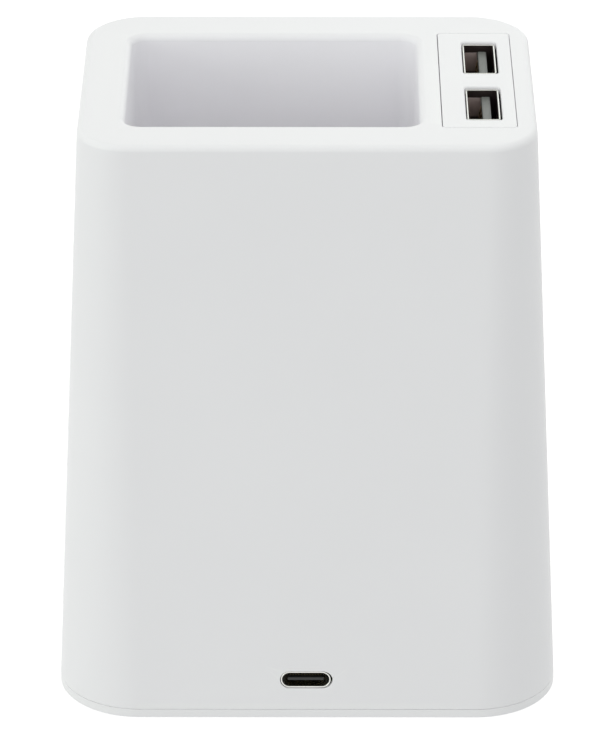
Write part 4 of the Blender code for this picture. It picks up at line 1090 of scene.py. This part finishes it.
def makePanel():
    thickness, hookThickness, overlap = panel["thickness"], panel["hookThickness"], panel["hookOverlap"]
    outline = insetOutline(panel["width"], panel["length"], panel["corner"], 0, 0, 20)
    sheet = softPrism(outline, -thickness, 0, 0, panel["edgeRound"])
    joins, cuts = [], []
    half, long, foot = hookThickness / 2, panel["hookWidth"] / 2, stack["hookFoot"]
    for side in (-1, 1):
        x = side * stack["hookX"]
        tip = half + panel["hookReach"] + panel["hookBarb"]
        barb = sorted((x - side * (half - overlap), x + side * tip))
        for share in panel["hookShares"]:
            y = panel["length"] * share
            joins.append(block(
                (x - half, y - long, foot + panel["hookSink"]), (x + half, y + long, -thickness / 2)
            ))
            joins.append(softBlock(
                (barb[0], y - long + overlap, foot), (barb[1], y + long - overlap, foot + hookThickness),
                *panel["hookRounds"],
            ))
    reach, postFoot = stack["postReach"], stack["postFoot"]
    posts = [(x * reach, stack["coilUp"] + y * reach) for y in (-1, 1) for x in (-1, 1)]
    for number, (x, y) in enumerate(posts, 1):
        joins.append(rod(stack["postRadius"], postFoot, -thickness / 2, x, y, 32))
        if number in stack["boredPosts"]:
            cuts.append(rod(stack["postBore"], postFoot - overrun, stack["postBoreEnd"], x, y, 24))
    makePiece("phone_panel", "moulding", etchedAbs, facePlace, sheet, joins, cuts)


def makeCoilStack():
    up, turnPoints = stack["coilUp"], stack["turnPoints"]
    count = stack["turns"] * turnPoints
    points = []
    for i in range(count + 1):
        angle = 2 * math.pi * i / turnPoints - math.pi / 2
        radius = stack["innerRadius"] + stack["pitch"] * (count - i) / turnPoints
        points.append(Vector((radius * math.cos(angle), up + radius * math.sin(angle), -stack["depth"])))
    winding = tubeShape(points, stack["wire"] / 2, 10)
    makePiece("charging_coil", "winding", enamelledCopper, facePlace, winding, (), (), 60)

    def discOutline(radius):
        return lambda draw: circle(radius - draw, 0, up, 96)

    front, edge, hole = stack["ferriteFront"], stack["ferriteEdge"], stack["hole"]
    rear = front - stack["ferriteThickness"]
    disc = softPrism(discOutline(stack["ferriteRadius"]), rear, front, edge, edge)
    bore = rod(hole, front - 2 * overrun, front + overrun, 0, up)
    makePiece("ferrite_disc", "pressed", sinteredFerrite, facePlace, disc, (), [bore])

    front = stack["holderFront"]
    rear, width = front - stack["holderThickness"], stack["holderWidth"]
    plate = softPrism(
        insetOutline(width, width, stack["holderCorner"], 0, up), rear, front, *stack["holderEdges"]
    )
    bevel, bevelRise = stack["passageBevel"]
    passage = [(hole + bevel, rear - overrun), (hole, rear + bevelRise), (hole, front + overrun)]
    cuts = [turned(passage, 0, up)]
    for x, y in holderScrew["places"]:
        cuts.append(rod(stack["screwBore"], rear - overrun, front + overrun, x, y, 24))
    for radius in stack["grooves"]:
        groove = softPrism(discOutline(radius), rear - overrun, rear + stack["grooveDepth"])
        core = softPrism(discOutline(radius - stack["grooveWidth"]), rear - 2 * overrun, rear + overrun)
        cuts.append(solidObject("groove", groove, facePlace, cuts=[core]))
    makePiece("coil_holder", "moulding", blackNylon, facePlace, plate, (), cuts)
    print("panel and coil stack made")


# Ledge pad: silicone strip with fine grip grooves

def makeLedgePad():
    low, high = boxMm("ledge_pad")
    middleY, size = (low.y + high.y) / 2, high - low
    outline = insetOutline(size.x, size.y, pad["corner"], 0, middleY, 10)
    strap = softPrism(outline, low.z, high.z, 0, pad["topRound"])
    length, width = size.x - 2 * pad["grooveMargin"], pad["grooveWidth"]
    cuts = []
    for i in range(pad["grooves"]):
        y = middleY + (i - (pad["grooves"] - 1) / 2) * pad["groovePitch"]
        outline = insetOutline(length, width, width / 2, 0, y, 5)
        cuts.append(flaredCut(outline, high.z - pad["grooveDepth"], high.z, pad["grooveEdge"]))
    makePiece("ledge_pad", "strip", mouldedSilicone, worldPlace, strap, (), cuts)
    print("ledge pad made")


# Boards: solder mask over tracks, tinned pads round the holes

boards = {
    "corner": 1.5, "portCorner": 0.75, "edge": 0.08, "hole": 1.3, "portHole": 1.2, "ring": 2.1, "film": 0.04,
    "tracks": [   # width and line of each, from the board's middle
        (1.6, [(0, -16.45), (0, -10.95), (9.9, -4.75)]),
        (1.6, [(13, -4.75), (19.2, -6.75)]),
        (2.4, [(19.2, -4.45), (21.84, -0.95), (21.84, 1.6)]),
        (1.2, [(21.84, 5.6), (17, 9.05), (17, 17.05)]),
        (0.5, [(-9.2, -5.95), (-3, -1.95), (-3, 2.05), (-10.8, 6.55)]),
        (0.5, [(-9.2, -4.45), (-4.5, -0.95), (-4.5, 1.55), (-10.8, 5.05)]),
        (1.8, [(-14.8, 7.05), (-17.4, 8.65), (-19.6, 8.8)]),
        (1.4, [(-12.8, 8.05), (-12.8, 12.05), (-15.2, 9.45)]),
        (1.2, [(-4.2, 9.45), (11.5, 9.45)]),
        (1.2, [(-4.2, 12.95), (11.5, 12.95), (14, 16.05)]),
        (0.4, [(-15, -7.95), (-19, -10.95), (-19, -15.95)]),
        (0.4, [(-15, -6.95), (-20, -9.95), (-20, -13.95)]),
    ],
}


def makeBoard(node, corner, holes, boreRadius, tracks=()):
    low, high = boxMm(node)
    middle = (low + high) / 2
    film, edge = boards["film"], boards["edge"]
    outline = insetOutline(high.x - low.x, high.y - low.y, corner, middle.x, middle.y, 6)
    sheet = softPrism(outline, low.z, high.z, edge, edge, 2)
    bores = [rod(boreRadius, low.z - overrun, high.z + overrun, x, y, 32) for x, y in holes]
    layers = [(solidObject("sheet", sheet, worldPlace, cuts=bores), solderMaskBoard)]
    for x, y in holes:
        for bottom, top in ((high.z - film, high.z + film / 2), (low.z - film / 2, low.z + film)):
            ring = rod(boards["ring"], bottom, top, x, y, 40)
            bore = rod(boreRadius + film, bottom - overrun, top + overrun, x, y, 32)
            layers.append((solidObject("ring", ring, worldPlace, cuts=[bore]), tinPlatedSheet))
    for width, line in tracks:
        points = [(middle.x + x, middle.y + y) for x, y in line]
        layers.append((bentStrip(points, width, high.z - film, high.z + film / 2), maskedCopper))
    makeLayered(node, "laminate", worldPlace, layers)


def makeBoards():
    holes = [(x, y - footDepth / 2) for x, y in boardHoles()]
    makeBoard("main_board", boards["corner"], holes, boards["hole"], boards["tracks"])
    makeBoard("port_board", boards["portCorner"], stripPosts, boards["portHole"])
    print("boards made")


# Parts on the main board

chips = {
    "controller_chip": {"inset": 0.45, "pitch": 0.65, "leadAxes": (0, 1)},
    "driver_chip": {"inset": 0.55, "pitch": 1.27, "leadAxes": (0,)},
}
chipForm = {
    "bare": 0.05, "corner": 0.12, "round": 0.1,
    "dimple": (0.28, 0.34), "dimpleDepth": 0.06, "dimplePlace": (0.7, 1.0),
    "leadHeight": 0.18, "leadShare": 0.17, "leadOverlap": 0.1, "leadMargin": 1.0,
}
inductor = {
    "corner": 1.8, "edge": 0.35, "ring": (2.4, 2.6), "ringDepth": 0.25,
    "terminalHalf": 1.2, "terminal": (2.6, 4.06), "terminalSink": 0.02, "terminalHeight": 0.9,
}
ceramic = {"skin": 0.06, "endSkin": 0.1, "round": 0.15, "capEnd": 0.75, "capRounds": (0.2, 0.15, 0.05)}
can = {
    "seat": 0.9, "seatRound": 0.15, "waist": 1.75, "ventTurns": (0, 60, 120),
    "vent": ((-1.9, -0.08, -0.14), (1.9, 0.08, 1)),
    # in from the side, and up from the board, up from the waist and down from the top
    "foot": [(0.15, 0.5)], "neck": [(0.1, -0.45), (0.38, -0.1), (0.38, 0.1), (0.1, 0.45)],
    "crown": [(0.1, 0.4), (0.22, 0.12), (0.5, 0)],
}


def makeChip(node, inset, pitch, leadAxes):
    low, high = boxMm(node)
    bare, edge = chipForm["bare"], chipForm["round"]
    sideInset = inset if 1 in leadAxes else bare
    package = softBlock(
        (low.x + inset, low.y + sideInset, low.z + bare), (high.x - inset, high.y - sideInset, high.z),
        chipForm["corner"], edge, edge,
    )
    (narrow, wide), (right, down) = chipForm["dimple"], chipForm["dimplePlace"]
    profile = [(narrow, high.z - chipForm["dimpleDepth"]), (wide, high.z + overrun)]
    dimple = turned(profile, low.x + inset + right, high.y - down, 20)
    layers = [(solidObject("chip", package, worldPlace, cuts=[dimple]), blackNylon)]
    middle = (low + high) / 2
    count = int((high.y - low.y - chipForm["leadMargin"]) / pitch) + 1
    half = pitch * chipForm["leadShare"]
    for i in range(count):
        shift = (i - (count - 1) / 2) * pitch
        for side in (-1, 1):
            for axis in leadAxes:
                reach = (high[axis] - low[axis]) / 2
                inner = reach - inset - chipForm["leadOverlap"]
                ends = sorted((middle[axis] + side * reach, middle[axis] + side * inner))
                across = middle[1 - axis] + shift
                spans = [ends, (across - half, across + half)]
                (x0, x1), (y0, y1) = spans if axis == 0 else spans[::-1]
                lead = block((x0, y0, low.z), (x1, y1, low.z + chipForm["leadHeight"]))
                layers.append((lead, tinPlatedSheet))
    makeLayered(node, "package", worldPlace, layers)


def makeInductor():
    low, high = boxMm("power_inductor")
    middle = (low + high) / 2
    core = softBlock(low, high, inductor["corner"], inductor["edge"])
    narrow, wide = inductor["ring"]
    profile = [(narrow, high.z - inductor["ringDepth"]), (wide, high.z + overrun)]
    ring = turned(profile, middle.x, middle.y, 40)
    layers = [(solidObject("core", core, worldPlace, cuts=[ring]), sinteredFerrite)]
    half, bottom = inductor["terminalHalf"], low.z - inductor["terminalSink"]
    for side in (-1, 1):
        x = sorted(middle.x + side * reach for reach in inductor["terminal"])
        top = (x[1], middle.y + half, low.z + inductor["terminalHeight"])
        layers.append((softBlock((x[0], middle.y - half, bottom), top), tinPlatedSheet))
    makeLayered("power_inductor", "core", worldPlace, layers)


def makeCeramicCapacitor(node):
    low, high = boxMm(node)
    skin, ends, edge, cap = ceramic["skin"], ceramic["endSkin"], ceramic["round"], ceramic["capEnd"]
    inner = (low.x + skin, low.y + ends, low.z + skin), (high.x - skin, high.y - ends, high.z - skin)
    layers = [(softBlock(*inner, edge, edge, edge), firedCeramic)]
    for start, end in ((low.y, low.y + cap), (high.y - cap, high.y)):
        ending = softBlock((low.x, start, low.z), (high.x, end, high.z), *ceramic["capRounds"])
        layers.append((ending, tinPlatedSheet))
    makeLayered(node, "chip", worldPlace, layers)


def makeCan():
    low, high = boxMm("bulk_capacitor")
    middle, reach = (low + high) / 2, (high.x - low.x) / 2
    seat = softBlock(low, (high.x, high.y, low.z + can["seat"]), can["seat"], can["seatRound"])
    waist = low.z + can["waist"]
    profile = [(reach - draw, low.z + up) for draw, up in can["foot"]]
    profile += [(reach - draw, waist + up) for draw, up in can["neck"]]
    profile += [(reach - draw, high.z - drop) for draw, drop in can["crown"]]
    top = worldPlace @ Matrix.Translation((middle.x, middle.y, high.z))
    vents = [
        plainObject("vent", block(*can["vent"]), top @ Matrix.Rotation(math.radians(turn), 4, "Z"))
        for turn in can["ventTurns"]
    ]
    drawn = solidObject("can", turned(profile, middle.x, middle.y, 64), worldPlace, cuts=vents)
    layers = [(drawn, drawnAluminium), (seat, blackNylon)]
    makeLayered("bulk_capacitor", "can", worldPlace, layers)


def makeBoardParts():
    for node, chip in chips.items():
        makeChip(node, **chip)
    makeInductor()
    for number in range(1, 5):
        makeCeramicCapacitor(f"resonance_capacitor_{number}")
    makeCan()
    print("board parts made")


# Leads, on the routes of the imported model

coilLead = {"wire": 1.2, "sleeve": clearSleeve, "slot": "lead_sleeve"}
leads = {
    "coil_lead_1": {**coilLead, "route": [
        (0, 23.54, 47.59), (0, 24.36, 45.34), (0, 23.33, 41.13), (0, 21.59, 35.39), (-7.54, 21.08, 31.45),
        (-15.08, 3.55, 14.92), (-15.08, -6.05, 10.76), (-15.08, -22.81, 10.5), (-15.08, -25.41, 8.42),
        (-15.08, -25.41, 7.12),
    ]},
    "coil_lead_2": {**coilLead, "route": [
        (0, 18.8, 60.61), (0, 17.75, 62.78), (0, 15.56, 62.49), (0, 13.95, 61.65), (0, 12.96, 59.12),
        (-9.88, 18.83, 30.63), (-19.76, 3.55, 14.92), (-19.76, -6.05, 10.76), (-19.76, -22.81, 10.5),
        (-19.76, -25.41, 8.42), (-19.76, -25.41, 7.12),
    ]},
    "port_lead_1": {"wire": 1.3, "sleeve": redPvc, "slot": "lead_red", "route": [
        (21.84, -32.61, 7.12), (21.84, -32.61, 9.72), (26.05, -33.91, 17.52), (28.2, -34.44, 42.93),
        (28.2, -36.87, 69.79), (29.5, -38.7, 94.05), (29.5, -38.7, 96.65),
    ]},
    "port_lead_2": {"wire": 1.3, "sleeve": blackPvc, "slot": "lead_black", "route": [
        (21.84, -28.61, 7.12), (21.84, -28.61, 9.72), (26.05, -27.31, 17.52), (30.8, -30.86, 42.93),
        (30.8, -33.85, 69.79), (29.5, -36.1, 94.05), (29.5, -36.1, 96.65),
    ]},
}
solder = {"below": 8.0, "cone": [(1.05, 7.09), (0.85, 7.3), (0.5, 7.7), (0.36, 8.1)], "wireShare": 0.3}


def makeLeads():
    for node, lead in leads.items():
        points = smoothRoute(lead["route"], 1.0)
        layers = [
            (tubeShape(points[1:-1], lead["wire"] / 2, 14), lead["sleeve"]),
            (tubeShape(points, lead["wire"] * solder["wireShare"], 8), tinPlatedSheet),
        ]
        for spot in (points[0], points[-1]):
            if spot.z < solder["below"]:
                layers.append((turned(solder["cone"], spot.x, spot.y, 24), tinPlatedSheet))
        makeLayered(node, "sleeved", worldPlace, layers, 60)
    print("leads made")


makeHousing()
makeBasePlate()
makeFeet()
makePortStrip()
makeSockets()
makeInlet()
makeScrews()
makePanel()
makeCoilStack()
makeLedgePad()
makeBoards()
makeBoardParts()
makeLeads()


# Studio: white sweep, soft lights and the camera of the photograph

studio = {
    "skyColour": "#fcfffa", "groundStrength": 0.42, "skyStrength": 0.895, "horizon": (-0.05, 0.1),
    "floorColour": "#8c8c8c", "floorRoughness": 0.9, "floorGlow": 0.92, "floorSize": 6.0, "aim": (0, 0, 0.06),
    "lamps": {
        "frontBox": {"place": (0, -1.6, 0.35), "size": 1.0, "power": 1.25, "colour": (0.97, 1.0, 1.08)},
        "leftBox": {"place": (-1.42, -0.74, 0.3), "size": 0.9, "power": 5.65, "colour": (0.935, 1.0, 0.915)},
        "rightBox": {"place": (1.6, -0.3, 0.3), "size": 0.9, "power": 0.3, "colour": (0.7, 1.0, 1.15)},
        "backBox": {"place": (0.3, 1.6, 0.35), "size": 0.9, "power": 2.4, "colour": (0.97, 1.0, 1.0)},
    },
}
view = {   # place, lens and sensor in millimetres, and reach in metres
    "place": (1.43, -764.61, 430.71), "pitchDown": 26.92, "turn": 0.11,
    "lens": 224.95, "sensor": 36, "reach": 10,
}


def makeStudio():
    world = bpy.data.worlds.new("studio")
    world.use_nodes = True
    tree = world.node_tree
    sky = tree.nodes["Background"]
    sky.inputs["Color"].default_value = toLinear(studio["skyColour"])
    around = addNode(tree, "TexCoord").outputs["Generated"]
    height = addNode(tree, "SeparateXYZ", None, {"Vector": around}).outputs["Z"]
    low, high = studio["horizon"]
    strengths = {"To Min": studio["groundStrength"], "To Max": studio["skyStrength"]}
    rise = addNode(tree, "MapRange", {"From Min": low, "From Max": high, **strengths}, {"Value": height})
    tree.links.new(rise.outputs["Result"], sky.inputs["Strength"])
    bpy.context.scene.world = world

    half = studio["floorSize"] / 2
    mesh = bpy.data.meshes.new("floor")
    corners = [(x * half, y * half, 0) for x, y in ((-1, -1), (1, -1), (1, 1), (-1, 1))]
    mesh.from_pydata(corners, [], [(0, 1, 2, 3)])
    paper = {
        "Base Color": toLinear(studio["floorColour"]), "Roughness": studio["floorRoughness"],
        "Emission Color": (1, 1, 1, 1), "Emission Strength": studio["floorGlow"],
    }
    mesh.materials.append(newMaterial("seamlessPaper", paper)[0])
    floor = addToScene("floor", mesh)
    floor.visible_diffuse = False   # the paper's glow whitens the ground, not the object

    for name, lamp in studio["lamps"].items():
        light = bpy.data.lights.new(name, "AREA")
        light.size, light.energy, light.color = lamp["size"], lamp["power"], lamp["colour"]
        made = addToScene(name, light)
        made.location = lamp["place"]
        aim = Vector(studio["aim"]) - Vector(lamp["place"])
        made.rotation_euler = aim.to_track_quat("-Z", "Y").to_euler()
        made.visible_camera = False


def makeCamera():
    lens = bpy.data.cameras.new("camera")
    lens.lens, lens.sensor_width = view["lens"], view["sensor"]
    lens.clip_end = view["reach"]
    made = addToScene("camera", lens)
    made.location = Vector(view["place"]) * mm
    made.rotation_euler = (math.radians(90 - view["pitchDown"]), 0, math.radians(view["turn"]))
    bpy.context.scene.camera = made


makeStudio()
makeCamera()
bpy.context.scene.view_settings.view_transform = "Standard"
print("studio and camera made")
